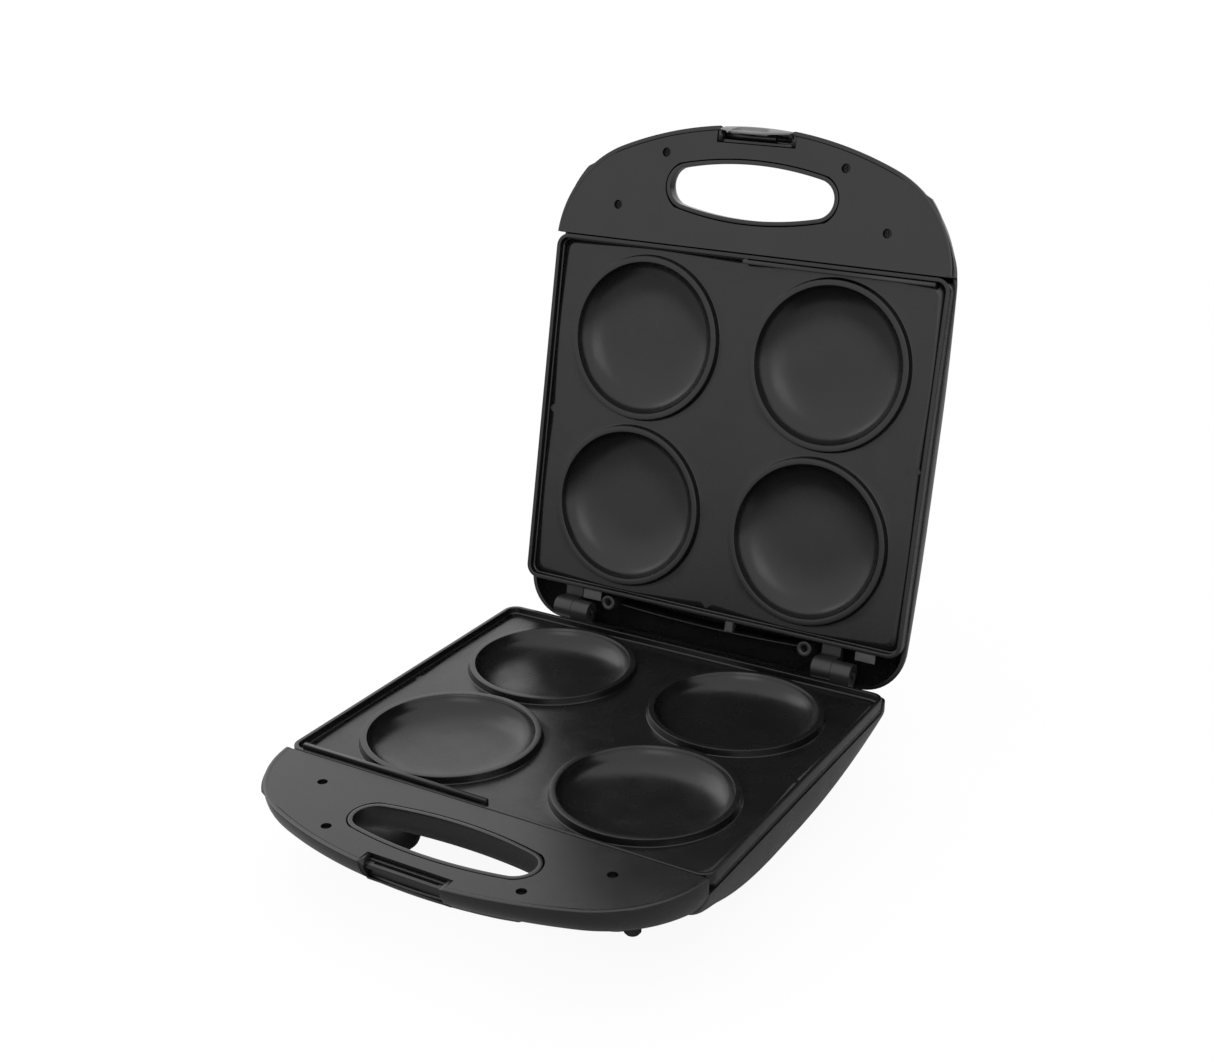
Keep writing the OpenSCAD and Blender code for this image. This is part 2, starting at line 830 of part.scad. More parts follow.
module base_hinge_leaf_left() {
    color("#3a3a3b") in_base() hinge_leaf(base_leaf_x[0], pin_r);
}

module base_hinge_leaf_right() {
    color("#3a3a3b") in_base() hinge_leaf(base_leaf_x[1], pin_r);
}

module base_hinge_screws() {
    color("silver") in_base() hinge_screw_set(base_leaf_x);
}

module lid_hinge_leaf_left() {
    color("#3a3a3b") in_lid() mirrored_up() hinge_leaf(lid_leaf_x[0], pin_r + pin_fit);
}

module lid_hinge_leaf_right() {
    color("#3a3a3b") in_lid() mirrored_up() hinge_leaf(lid_leaf_x[1], pin_r + pin_fit);
}

module lid_hinge_screws() {
    color("silver") in_lid() mirrored_up() hinge_screw_set(lid_leaf_x);
}

module hinge_pin_left() {
    hinge_pin(-hinge_x);
}

module hinge_pin_right() {
    hinge_pin(hinge_x);
}

// ---- Lamps --------------------------------------------------------------------------------------

module lamp_lens(side) {
    in_lid()
        mirrored_up()
            translate([side * lamp_x, lamp_y, -lid_depth - lens_rise])
                cylinder(h = wall + lens_rise, r = lens_r);
}

module power_lamp_lens() {
    color("red") lamp_lens(-1);
}

module ready_lamp_lens() {
    color("green") lamp_lens(1);
}

// Block inside the lid that holds both lamps behind their lenses
module lamp_holder() {
    color("#d0d0cc")
        in_lid()
            mirrored_up()
                translate([-lamp_x - lamp_holder_end, lamp_y - lamp_holder_d / 2, -lid_depth + wall])
                    cube([2 * (lamp_x + lamp_holder_end), lamp_holder_d, lamp_holder_h]);
}

// ---- Latch --------------------------------------------------------------------------------------

// How far the front of the handle has rounded in at a depth below its lip
function front_inset(z) =
    let (s = min(max((z - handle_lip) / (handle_depth - handle_lip), 0), 1))
        edge_round * (1 - sqrt(1 - s * s));

flap_line = [for (z = [-latch_top : 1 : latch_reach]) [z, front_r - front_inset(abs(z))]];

// D-shaped flap that follows the rounded fronts of both halves, with its barrel, finger slot and hook.
// It is drawn in the closed lid's own place, with its free end below the parting plane
module latch_flap() {
    color("#3a3a3b")
        in_lid()
            difference() {
                union() {
                    intersection() {
                        translate([0, arc_y, 0])
                            rotate(-100)
                                rotate_extrude(angle = 20, $fn = 240)
                                    polygon(concat(
                                        [for (p = flap_line) [p[1], -p[0]]],
                                        [for (i = [len(flap_line) - 1 : -1 : 0])
                                            [flap_line[i][1] - flap_t, -flap_line[i][0]]]));
                        rotate([90, 0, 0]) linear_extrude(beyond) flap_face();
                    }
                    translate([-latch_w / 2, latch_y, -latch_z])
                        rotate([0, 90, 0]) cylinder(h = latch_barrel_l, r = latch_barrel_r);
                    web_y = arc_y - front_r + front_inset(-latch_z) + flap_t - 0.6;
                    translate([-latch_w / 2, web_y, -latch_z - web_t / 2])
                        cube([latch_barrel_l, latch_y - web_y, web_t]);
                    latch_hook();
                }
                translate([-latch_w / 2 - 1, latch_y, -latch_z])
                    rotate([0, 90, 0]) cylinder(h = latch_w + 2, r = latch_pin_d / 2 + pin_fit);
                // Room for the spring
                translate([spring_x - 1, latch_y, -latch_z])
                    rotate([0, 90, 0])
                        cylinder(h = spring_turns * spring_pitch + 1.4, r = spring_r + wire_room);
                // Finger slot
                translate([-slot_w / 2, arc_y - front_r - 5, -1.5]) cube([slot_w, flap_t + 10.2, slot_h]);
            }
}

// Front view of the flap: square shoulders above and a round lower edge
module flap_face() {
    intersection() {
        translate([-latch_w / 2, -latch_reach]) square([latch_w, latch_reach + latch_top]);
        translate([0, -latch_reach + flap_round]) circle(flap_round);
    }
}

// Lip on the back of the flap that catches below the keeper
module latch_hook() {
    top = -keeper_top - keeper_h - 0.3;
    back = recess_back_y - 2.2;
    front = arc_y - front_r + front_inset(-top) + flap_t - 0.5;
    for (s = [-1, 1])
        translate([s * hook_x - hook_w / 2, 0, 0])
            rotate([90, 0, 90])
                linear_extrude(hook_w)
                    polygon([
                        [front, top], [back, top], [front + 0.4, top - hook_h], [front, top - hook_h]]);
}

// Bar across the base's recess, on two end blocks
module latch_keeper() {
    color("#4a4a4b")
        in_base() {
            bar_y = recess_back_y - keeper_w - 1.6;
            translate([-recess_half_w, bar_y, -keeper_top - keeper_h])
                cube([2 * recess_half_w, keeper_w, keeper_h]);
            for (x = [-recess_half_w, recess_half_w - 4])
                translate([x, bar_y, -keeper_top - keeper_h]) cube([4, keeper_w + 1.6, keeper_h]);
        }
}

module latch_pin() {
    color("silver")
        in_lid()
            translate([-recess_half_w - 1.2, latch_y, -latch_z])
                rotate([0, 90, 0]) cylinder(h = 2 * recess_half_w + 2.4, r = latch_pin_d / 2);
}

// Torsion spring round the latch pin, beside the barrel
module latch_spring() {
    color("silver")
        in_lid()
            translate([spring_x, latch_y, -latch_z])
                rotate([0, 90, 0])
                    for (i = [0 : spring_turns - 1])
                        translate([0, 0, i * spring_pitch])
                            rotate_extrude() translate([spring_r, 0]) circle(spring_wire_r, $fn = 24);
}

base_shell();
base_handle_cover();
base_cover_screws();
base_plate();
base_plate_screws();
base_heating_element();
base_reflector();
thermostat();
thermal_fuse();
terminal_block();
cord_gland();
foot_front_left();
foot_front_right();
foot_back_left();
foot_back_right();
latch_keeper();
base_hinge_leaf_left();
base_hinge_leaf_right();
base_hinge_screws();
hinge_pin_left();
hinge_pin_right();
lid_shell();
lid_handle_cover();
lid_cover_screws();
lid_plate();
lid_plate_screws();
lid_heating_element();
lid_reflector();
lamp_holder();
power_lamp_lens();
ready_lamp_lens();
lid_hinge_leaf_left();
lid_hinge_leaf_right();
lid_hinge_screws();
latch_flap();
latch_pin();
latch_spring();
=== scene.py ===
# %% [markdown]
# # A countertop snack maker, dressed for a picture
#
# The maker has two halves. Each is a moulded housing with a looped handle, and holds a cast cooking
# plate with four round cups. The construction model already gives every piece its true place, so this
# lesson replaces the pieces whose surface matters most with smooth ones, rounds the edges of the
# rest, and gives every piece a finish of its own.
#
# Every length below is written in millimetres, as a maker would measure it, and becomes metres only
# when a mesh is made.

# %% Load the frame
import json
import math

import bmesh
import bpy
import numpy as np
from mathutils import Matrix, Vector


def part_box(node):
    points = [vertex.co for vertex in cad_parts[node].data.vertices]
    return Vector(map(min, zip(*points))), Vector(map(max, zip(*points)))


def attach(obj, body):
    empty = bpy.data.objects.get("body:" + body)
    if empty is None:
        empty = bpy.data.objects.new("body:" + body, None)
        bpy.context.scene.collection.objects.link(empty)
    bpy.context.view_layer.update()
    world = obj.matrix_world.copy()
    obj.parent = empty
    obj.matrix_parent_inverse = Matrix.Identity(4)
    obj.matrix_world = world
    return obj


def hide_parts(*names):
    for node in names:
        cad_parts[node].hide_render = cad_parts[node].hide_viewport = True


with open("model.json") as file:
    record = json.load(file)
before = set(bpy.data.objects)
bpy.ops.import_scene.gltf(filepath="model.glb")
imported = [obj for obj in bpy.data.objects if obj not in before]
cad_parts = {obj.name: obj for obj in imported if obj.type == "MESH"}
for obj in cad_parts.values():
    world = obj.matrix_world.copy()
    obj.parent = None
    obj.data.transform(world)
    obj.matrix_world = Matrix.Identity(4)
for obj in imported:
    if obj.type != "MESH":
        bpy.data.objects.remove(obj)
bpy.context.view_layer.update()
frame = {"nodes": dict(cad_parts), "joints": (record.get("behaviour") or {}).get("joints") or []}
MM = 0.001

# %% [markdown]
# Both halves are drawn in one simple place: below a parting plane at height zero, as if the maker
# were shut and each half hung under that plane. Two short functions then carry a half to its real
# place. The hinge joint of the frame says where the axis is, how high the parting plane lies and how
# far the lid stands open. The lower plate's box says where the plates' centre is. So nothing here has
# to be fitted by eye.

# %% Places of the two halves
hinge = next(j for j in frame["joints"] if j["name"] == "lid_hinge")
plate_low, plate_high = (np.array(corner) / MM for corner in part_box("base_plate"))
PLATE_Y = (plate_low[1] + plate_high[1]) / 2
HINGE_Y = hinge["pos_m"][1] / MM - PLATE_Y
PARTING_Z = hinge["pos_m"][2] / MM
OPEN = math.radians(hinge["range_deg"][1])


def base_place(p):
    """Lifts points from the parting plane to their height in the base, about the plates' centre."""
    return p + np.array([0.0, PLATE_Y, PARTING_Z])


def lid_place(p):
    """Turns points upside down across the parting plane, then swings them open about the hinge.

    y' = hinge + (y - hinge) cos(open) + z sin(open),  z' = -(y - hinge) sin(open) + z cos(open)
    """
    x, y, z = p[..., 0], p[..., 1] - HINGE_Y, -p[..., 2]
    back = HINGE_Y + y * math.cos(OPEN) + z * math.sin(OPEN)
    up = -y * math.sin(OPEN) + z * math.cos(OPEN)
    return base_place(np.stack([x, back, up], axis=-1))


def turned_over(p):
    """Turns points about the Y axis by half a turn, then undoes the lid's mirror: the same casting
    serves both plates, so what lies on the left of one lies on the right of the other."""
    return p * np.array([-1.0, 1.0, 1.0])


print(f"hinge axis {HINGE_Y:.1f} mm back, parting plane {PARTING_Z:.1f} mm up")
print(f"lid open {math.degrees(OPEN):.1f} degrees")

# %% [markdown]
# The sizes that shape the new surfaces come next. The plates' width and depth are read off the
# frame. The others are the ones that a caliper would find on the object.

# %% Sizes of the plates
HALF_W = (plate_high[0] - plate_low[0]) / 2
HALF_D = (plate_high[1] - plate_low[1]) / 2
CUP_R = 46.0  # inside of a cup
CUP_DEPTH = 12.0  # of its dish, below the parting plane
CUP_X, CUP_Y = 60.8, 52.1  # from the middle of the plate to the middle of a cup
RING_W = 3.5  # raised ring round a cup
FLOOR_DROP = 4.3  # from the parting plane down to the floor
CASTING = 1.2  # thickness of the metal
RIM_W = 2.5  # rim round the plate
HOLLOW = 0.8  # radius of the hollow where the floor meets the rim
SKIRT = 8.5  # from the parting plane down to the edge of the skirt
PLATE_CORNER = 8.0  # radius of the plate's corners
GAP = 0.3  # from the parting plane to either half, and how far a housing stands out past its plate
print(f"plates {2 * HALF_W:.1f} by {2 * HALF_D:.1f} mm with cups {2 * CUP_R:.0f} mm wide")

# %% [markdown]
# The front of a housing is a handle. Its outline is a wide arc between two tighter shoulder arcs, and
# the hand hole is bounded by two more wide arcs. The latch sits in a recess in the middle of it.

# %% Sizes of the housings
WALL = 2.3  # thickness of the moulding
SHELL_HALF_W = HALF_W + GAP
FRONT_Y = -HALF_D - 0.8  # where the handle ends and the belly begins
EDGE_DROP = SKIRT + 1.0  # from the parting plane down to the edge of the belly
REACH = 72.6  # of the handle, in front of FRONT_Y
FRONT_R = 228.0
SHOULDER_R = 66.0
SHOULDER_X = SHELL_HALF_W - SHOULDER_R
ARC_Y = FRONT_Y - REACH + FRONT_R  # centre of the front arc
HANDLE_DEPTH = 14.0  # at the tip of the handle
HANDLE_SLOPE = math.tan(math.radians(7.0))  # of its underside
EDGE_ROUND = 14.0  # how far the handle's edge takes to round in
HOLE_FRONT_R = FRONT_R - 22.1  # the handle is 22.1 mm wide in front of its hole
HOLE_FRONT_Y = ARC_Y - HOLE_FRONT_R
HOLE_BACK_R = 195.0
HOLE_BACK_Y = HOLE_FRONT_Y + 31.6  # and the hole is 31.6 mm wide
HOLE_END = 105.6 / 2  # half its length
HOLE_MID_Y = (HOLE_FRONT_Y + HOLE_BACK_Y) / 2
FILLET = 11.0  # from the underside into the tunnel of the hole
TUNNEL_LIFT = 0.15  # share of its depth by which the underside rises towards the hole
RECESS_HALF_W = 23.0
RECESS_BACK_Y = FRONT_Y - REACH + 8.6
RECESS_DEPTH = 12.8
print(f"handle reaches {REACH:.1f} mm in front of the plates, hand hole {2 * HOLE_END:.1f} mm long")

# %% [markdown]
# Nearly every new surface is a sheet: a grid of points, one row after another. A row can close on
# itself, as round a cup, and the rows can close on each other, as round a ring. One helper turns such
# a grid into faces with whole-array arithmetic, which is quick and keeps the corners in one turning
# sense, so that all faces look outwards.

# %% Sheets
def sheet(points, close_rows=False, close_columns=False, flip=False):
    """Vertices and quads of a grid of points [rows, columns, 3]. Quad (r, c) joins the corners
    (r, c), (r, c+1), (r+1, c+1), (r+1, c), wrapping where a direction is closed."""
    rows, cols = points.shape[:2]
    r = np.arange(rows if close_rows else rows - 1)
    c = np.arange(cols if close_columns else cols - 1)
    r, c = np.meshgrid(r, c, indexing="ij")
    r2, c2 = (r + 1) % rows, (c + 1) % cols
    quads = np.stack([r * cols + c, r * cols + c2, r2 * cols + c2, r2 * cols + c], axis=-1)
    quads = quads.reshape(-1, 4)
    return points.reshape(-1, 3), quads[:, ::-1] if flip else quads


print("a grid of 4 by 6 points has", len(sheet(np.zeros((4, 6, 3)))[1]), "faces")

# %% [markdown]
# A piece is made of one or more such parts. They are put in place while they are still arrays, so the
# finished object sits at the origin, and its mesh carries the place. Points that two parts share are
# merged, which turns parts that meet into one skin.

# %% Pieces
def joined(*parts):
    """Several (vertices, quads) pairs as one."""
    verts, faces, start = [], [], 0
    for v, f in parts:
        verts.append(v)
        faces.append(f + start)
        start += len(v)
    return np.concatenate(verts), np.concatenate(faces)


def make_piece(name, parts, place, body, stands_for=(), recalculate=True):
    """A smooth mesh object from parts, put in place, merged, turned outwards and riding on its body."""
    verts, faces = joined(*parts)
    mesh = bpy.data.meshes.new(name)
    mesh.from_pydata((place(verts) * MM).tolist(), [], faces.tolist())
    piece = bpy.data.objects.new(name, mesh)
    bpy.context.scene.collection.objects.link(piece)
    tidy(mesh, recalculate)
    mesh.polygons.foreach_set("use_smooth", np.ones(len(mesh.polygons), dtype=bool))
    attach(piece, body)
    if stands_for:
        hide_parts(*stands_for)
    print(f"{name}: {len(mesh.vertices)} vertices, {len(mesh.polygons)} faces")
    return piece


def tidy(mesh, recalculate, distance=0.00001):
    """Merges vertices that share a place, drops what shrinks to nothing or belongs to no face, and
    points all faces outwards."""
    work = bmesh.new()
    work.from_mesh(mesh)
    bmesh.ops.remove_doubles(work, verts=work.verts, dist=distance)
    bmesh.ops.dissolve_degenerate(work, edges=work.edges, dist=distance / 10)
    loose = [vert for vert in work.verts if not vert.link_faces]
    bmesh.ops.delete(work, geom=loose, context="VERTS")
    if recalculate:
        bmesh.ops.recalc_face_normals(work, faces=work.faces)
    work.to_mesh(mesh)
    work.free()


def arc(start, end, count):
    """Angles in radians from start to end, both given in degrees."""
    return np.radians(np.linspace(start, end, count))


# %% [markdown]
# A cast plate is a floor with four cups. Seen from above, each cup sits in a quarter of the plate,
# and every point of that quarter can be reached from the cup's centre along a straight line. So one
# grid per quarter does it all: the rows run out along the section of the cup (dish, wall, ring, foot)
# and then on over the floor to the quarter's edge, and the columns go round. The rounded parts of
# the section catch the light as thin bright lines, which is what makes a ring look cast, so they get
# the most rows.

# %% Section of a cup
def cup_section():
    """Radius and height along a cup's section, from its centre to the foot of its ring.

    The dish is h = -depth (1 - t^5)^0.55 with t = r / cup radius, so it is nearly flat inside. The
    ring is a flat band with rounded edges. Its outside leans out a little so that it leaves the
    mould, and its foot is a small quarter circle into the floor.
    """
    edge, lean, foot = 0.35, 0.7, 0.6
    t = np.sin(arc(0, 86, 36))
    dish_r = (CUP_R - 0.2) * t
    dish_z = -CUP_DEPTH * (1 - t**5) ** 0.55
    dish = np.stack([dish_r, dish_z])[:, dish_z < -GAP - edge]
    turn = arc(0, 90, 7)
    along, fall = 1 - np.cos(turn), 1 - np.sin(turn)
    out_r = CUP_R + RING_W
    edge_in = np.stack([CUP_R + edge * along, -GAP - edge * fall])
    edge_out = np.stack([out_r - edge + edge * np.sin(turn), -GAP - edge * along])
    foot_out = np.stack([out_r + lean + foot * along, -FLOOR_DROP + foot * fall])
    return np.concatenate([dish, edge_in, edge_out, foot_out], axis=1)


section_r, section_z = cup_section()
print("a cup's section has", len(section_r), "points and is", round(-section_z.min(), 1), "mm deep")

# %% [markdown]
# The quarter's edge lies on the plate's two middle lines and just inside its rim. Each ray from the
# cup's centre is simply made as long as it takes to get there. The four quarters meet on the middle
# lines with the same points, so no seam shows.

# %% One quarter of the plate
def quarter(sign_x, sign_y, columns=192, floor_rows=5):
    """Grid over one quarter: rings of the cup's section, then rows that stretch from the ring's foot
    to the edge of the quarter. The edge is met along each ray at the nearest of four lines, and its
    outer corner is rounded with a circle. Three more rays run exactly into the sharp corners."""
    right, left = HALF_W - RIM_W - CUP_X - HOLLOW, CUP_X
    back, front = HALF_D - RIM_W - CUP_Y - HOLLOW, CUP_Y
    corners = [math.atan2(back, -left), math.atan2(-front, right), math.atan2(-front, -left)]
    angle = np.linspace(0, 2 * np.pi, columns, endpoint=False)
    angle = np.sort(np.concatenate([angle, np.mod(corners, 2 * np.pi)]))
    dx, dy = np.cos(angle), np.sin(angle)
    reach = np.minimum(
        np.where(dx > 0, right, left) / np.maximum(abs(dx), 1e-9),
        np.where(dy > 0, back, front) / np.maximum(abs(dy), 1e-9),
    )
    corner_r = PLATE_CORNER - RIM_W - HOLLOW
    cx, cy = right - corner_r, back - corner_r
    along = dx * cx + dy * cy
    root = along + np.sqrt(np.maximum(along**2 - (cx**2 + cy**2 - corner_r**2), 0))
    in_corner = (dx * root > cx) & (dy * root > cy)
    reach = np.where(in_corner, root, reach)
    start = section_r[-1]
    shares = np.linspace(0, 1, floor_rows + 1)[1:]
    rays = [*section_r, *(start + (reach - start) * share for share in shares)]
    heights = [*section_z, *[-FLOOR_DROP] * len(shares)]
    rings = [np.stack([r * dx, r * dy, np.full(len(angle), z)], axis=-1) for r, z in zip(rays, heights)]
    grid = np.stack(rings)
    grid[..., 0] = sign_x * (CUP_X + grid[..., 0])
    grid[..., 1] = sign_y * (CUP_Y + grid[..., 1])
    return sheet(grid, close_columns=True, flip=sign_x * sign_y > 0)


print("a quarter of a plate has", len(quarter(1, 1)[0]), "points")

# %% [markdown]
# The rim keeps the batter in, and the skirt below it hides the heater. Both are one section carried
# round the plate, drawn in or out along a rectangle with rounded corners.

# %% Rim and skirt
def rounded_rect(half_x, half_y, radius, per_corner=12):
    """Loop of a rectangle with rounded corners, anticlockwise. Each corner is a quarter circle."""
    points = []
    for quarter_turn, (sx, sy) in enumerate([(1, 1), (-1, 1), (-1, -1), (1, -1)]):
        a = arc(90 * quarter_turn, 90 * quarter_turn + 90, per_corner)
        points.append(np.stack([sx * (half_x - radius) + radius * np.cos(a),
                                sy * (half_y - radius) + radius * np.sin(a)], axis=-1))
    return np.concatenate(points)


def rim():
    """Rim and skirt: a section carried round the plate. Inset 0 is the outer face. The section rises
    from the floor in a small hollow, rounds over the top and drops down the skirt."""
    turn = arc(0, 90, 6)
    top = 0.45
    inset = np.concatenate([RIM_W + HOLLOW * (1 - np.sin(turn)), RIM_W - top * (1 - np.cos(turn)),
                            top * (1 - np.sin(turn)), [0.0, 0.0]])
    height = np.concatenate([-FLOOR_DROP + HOLLOW * (1 - np.cos(turn)), -GAP - top * (1 - np.sin(turn)),
                             -GAP - top * (1 - np.cos(turn)), [-SKIRT / 2, -SKIRT]])
    rows = []
    for i, z in zip(inset, height):
        loop = rounded_rect(HALF_W - i, HALF_D - i, max(PLATE_CORNER - i, 0.5))
        rows.append(np.column_stack([loop, np.full(len(loop), z)]))
    return sheet(np.stack(rows), close_columns=True)


print("the rim has", len(rim()[1]), "faces")

# %% [markdown]
# A low rail stands on the floor just inside the front rim of one half of each plate. When the maker
# is shut, it nests inside the rim of the other plate and keeps the batter in. It is a thin bar with
# rounded top edges, a short return that meets the rim at the middle of the plate, and rounded ends.

# %% Drip rail
def bar(x0, x1, y0, y1, z0, z1, r=0.5):
    """Closed bar along X with its long top edges rounded by r, and both ends closed to a line."""
    turn = arc(0, 90, 5)
    ys = np.concatenate([[y0], y0 + r * (1 - np.cos(turn)), y1 - r * (1 - np.sin(turn)), [y1]])
    zs = np.concatenate([[z0], z1 - r * (1 - np.sin(turn)), z1 - r * (1 - np.cos(turn)), [z0]])
    ends = [np.column_stack([np.full(len(ys), x), np.full(len(ys), (y0 + y1) / 2), np.full(len(ys), z0)])
            for x in (x0, x1)]
    rows = [ends[0]]
    for x, shrink in ((x0, r), (x0 + r, 0.0), (x1 - r, 0.0), (x1, r)):
        rows.append(np.column_stack([np.full(len(ys), x), ys, np.minimum(zs, z1 - shrink)]))
    rows.append(ends[1])
    return sheet(np.stack(rows), close_columns=True)


def drip_rail():
    """The rail and its return, along the left half of the front rim, both sunk a little in the floor."""
    width, top, return_w = 2.4, 2.0, 2.2
    y0 = -HALF_D + RIM_W + 0.4
    x0, x1 = -HALF_W + RIM_W + 5.5, -1.0
    foot = -FLOOR_DROP - 0.6
    return [bar(x0, x1, y0, y0 + width, foot, top),
            bar(x1 - return_w, x1, y0 - 0.8, y0 + 1.0, foot, -GAP - 0.05, r=0.3)]


print("the rail and its return have", sum(len(faces) for verts, faces in drip_rail()), "faces")

# %% [markdown]
# Both plates are the same casting, one of them turned over. The parts of a casting are open sheets, so
# Blender can't tell its outside from its inside. Each sheet is therefore turned to look up before they
# are merged, and the metal's thickness is then added below.

# %% Both plates
def facing_up(part):
    """The part with its quads turned so that the sum of area times normal points up. The normal of a
    quad is half the cross product of its diagonals."""
    verts, quads = part
    p = verts[quads]
    up = np.cross(p[:, 2] - p[:, 0], p[:, 3] - p[:, 1])[:, 2].sum()
    return verts, quads if up > 0 else quads[:, ::-1]


def plate(name, body, place, node):
    """One casting: four quarters, rim and skirt as one sheet, thickened downwards, with its rail."""
    parts = [quarter(sx, sy) for sx in (-1, 1) for sy in (-1, 1)] + [rim()]
    piece = make_piece(name, [facing_up(part) for part in parts], place, body, [node], recalculate=False)
    face_side(piece, upward=place)
    wall = piece.modifiers.new("wall", "SOLIDIFY")
    wall.thickness = CASTING * MM
    wall.offset = -1.0
    rail = make_piece(name + "_rail", drip_rail(), place, body)
    return piece, rail


def face_side(piece, upward, sense=1.0):
    """Makes a sheet's faces look to the side that the parting plane is on, or away from it where
    sense is -1. The sum of area times normal is the sheet's shadow, and its sign tells the side."""
    mesh = piece.data
    up = upward(np.array([0.0, 0.0, 1.0])) - upward(np.array([0.0, 0.0, 0.0]))
    count = len(mesh.polygons)
    normals, areas = np.empty(count * 3), np.empty(count)
    mesh.polygons.foreach_get("normal", normals)
    mesh.polygons.foreach_get("area", areas)
    if sense * (areas @ (normals.reshape(-1, 3) @ up)) < 0:
        mesh.flip_normals()


base_plate, base_rail = plate("lower_cooking_plate", "base", base_place, "base_plate")
lid_plate, lid_rail = plate("upper_cooking_plate", "lid", lambda p: lid_place(turned_over(p)), "lid_plate")

# %% [markdown]
# A housing is two forms that run into each other. Under the plate hangs a belly like a shallow boat:
# its sides, its front and its back leave the edge upright and round in to a flat. In front of it
# reaches the handle, whose underside slopes gently down towards the belly. Both can be written as a
# depth below the parting plane, and a soft maximum of the two depths makes one skin of them.

# %% Depth of the skin
HANDLE_FADE = 45.0  # length behind FRONT_Y over which the handle's form gives way to the belly
EDGE_FADE = 30.0  # length in front of FRONT_Y over which the belly's edge comes in
SIDE_ROUND, FRONT_ROUND, BACK_ROUND = 26.0, 90.0, 104.0


def outline_half_width(y, back_y, back_r):
    """Half the width of the housing at y: straight sides that round in at the front shoulders and
    at the back corners. On a round of radius r, half width = centre + sqrt(r^2 - (y - y0)^2)."""
    shoulder_y = ARC_Y - np.sqrt((FRONT_R - SHOULDER_R) ** 2 - SHOULDER_X**2)
    front = SHOULDER_X + np.sqrt(np.maximum(SHOULDER_R**2 - np.minimum(y - shoulder_y, 0) ** 2, 0))
    past = np.clip(y - (back_y - back_r), 0, back_r)
    return np.minimum(front, SHELL_HALF_W) - (back_r - np.sqrt(back_r**2 - past**2))


def round_in(run, length):
    """Height share of a quarter ellipse: sqrt(1 - (1 - run / length)^2)."""
    u = np.clip(run / length, 0, 1)
    return np.sqrt(1 - (1 - u) ** 2)


def smooth_step(s):
    """0 below 0, 1 above 1 and s^2 (3 - 2 s) between."""
    s = np.clip(s, 0, 1)
    return s**2 * (3 - 2 * s)


def skin_depth(x, y, inset, depth, back_y, back_r):
    """Depth of the skin below the parting plane. The belly's rounds across and along are multiplied,
    and handle and belly are blended with a 3-norm, so that no line shows between them."""
    apex_y = ARC_Y - FRONT_R
    fade = 1 - smooth_step((y - FRONT_Y) / HANDLE_FADE)
    handle = (HANDLE_DEPTH + HANDLE_SLOPE * (y - apex_y)) * round_in(inset, EDGE_ROUND) * fade
    side = outline_half_width(y, back_y, back_r) - abs(x)
    across = round_in(side, SIDE_ROUND)
    front = round_in(np.maximum(y - FRONT_Y, 0), FRONT_ROUND)
    back = round_in(np.maximum(back_y - y, 0), BACK_ROUND)
    along = np.where(y < 0, front, back)
    edge = EDGE_DROP * smooth_step(1 + (y - FRONT_Y) / EDGE_FADE)
    belly = edge + (depth - EDGE_DROP) * (across * along)
    return (handle**3 + belly**3) ** (1 / 3)


print("edges round in over", EDGE_ROUND, "mm in front,", SIDE_ROUND, "mm at the sides")

# %% [markdown]
# The handle is a loop, so its skin is a grid whose columns start on the outer outline and end in the
# hand hole. The belly starts on the line where the handle ends, with the very same points, so the two
# grids merge into one mesh.

# %% Outline of the handle and of its hole
def handle_outline(inset, count=220):
    """Points round the front of the handle, from the right end to the left end, moved in by inset:
    shoulder arc, front arc, shoulder arc. Moving in only shortens each radius."""
    r, front_r = SHOULDER_R - inset, FRONT_R - inset
    centre_y = ARC_Y - math.sqrt((FRONT_R - SHOULDER_R) ** 2 - SHOULDER_X**2)
    start = math.asin((FRONT_Y - centre_y) / r)
    meet = math.atan2(centre_y - ARC_Y, SHOULDER_X)
    a = np.linspace(0, 1, count // 4)
    shoulder_a = start + (meet - start) * a
    shoulder = np.stack([SHOULDER_X + r * np.cos(shoulder_a), centre_y + r * np.sin(shoulder_a)], axis=-1)
    front_a = np.linspace(meet, -math.pi - meet, count // 2)[1:-1]
    front = np.stack([front_r * np.cos(front_a), ARC_Y + front_r * np.sin(front_a)], axis=-1)
    return np.concatenate([shoulder, front, shoulder[::-1] * np.array([-1.0, 1.0])])


def end_circle():
    """Centre and radius of the circle that rounds an end of the hole. It touches the front arc and the
    rear arc from inside, so the distance between centres is the difference of radii both times."""
    r = np.linspace(6.0, 15.0, 2001)
    x = HOLE_END - r
    on_front = ARC_Y - np.sqrt((HOLE_FRONT_R - r) ** 2 - x**2)
    on_back = HOLE_BACK_Y - HOLE_BACK_R + np.sqrt((HOLE_BACK_R - r) ** 2 - x**2)
    best = np.argmin(abs(on_front - on_back))
    return x[best], (on_front[best] + on_back[best]) / 2, r[best]


def hole_outline(grow=0.0, count=400):
    """Points round the hand hole, widened by grow: the front arc, the left end, the rear arc and the
    right end. Widening only lengthens each radius."""
    cx, cy, r = end_circle()
    start = math.atan2(cy - ARC_Y, cx)
    stop = math.atan2(cy - HOLE_BACK_Y + HOLE_BACK_R, cx)
    a = np.linspace(start, stop, count // 2)
    end = np.stack([cx + (r + grow) * np.cos(a), cy + (r + grow) * np.sin(a)], axis=-1)
    x = np.linspace(end[0, 0], -end[0, 0], count)[1:-1]
    front = np.column_stack([x, ARC_Y - np.sqrt((HOLE_FRONT_R + grow) ** 2 - x**2)])
    x = np.linspace(-end[-1, 0], end[-1, 0], count)[1:-1]
    back = np.column_stack([x, HOLE_BACK_Y - HOLE_BACK_R + np.sqrt((HOLE_BACK_R + grow) ** 2 - x**2)])
    return np.concatenate([front, end * np.array([-1.0, 1.0]), back, end[::-1]])


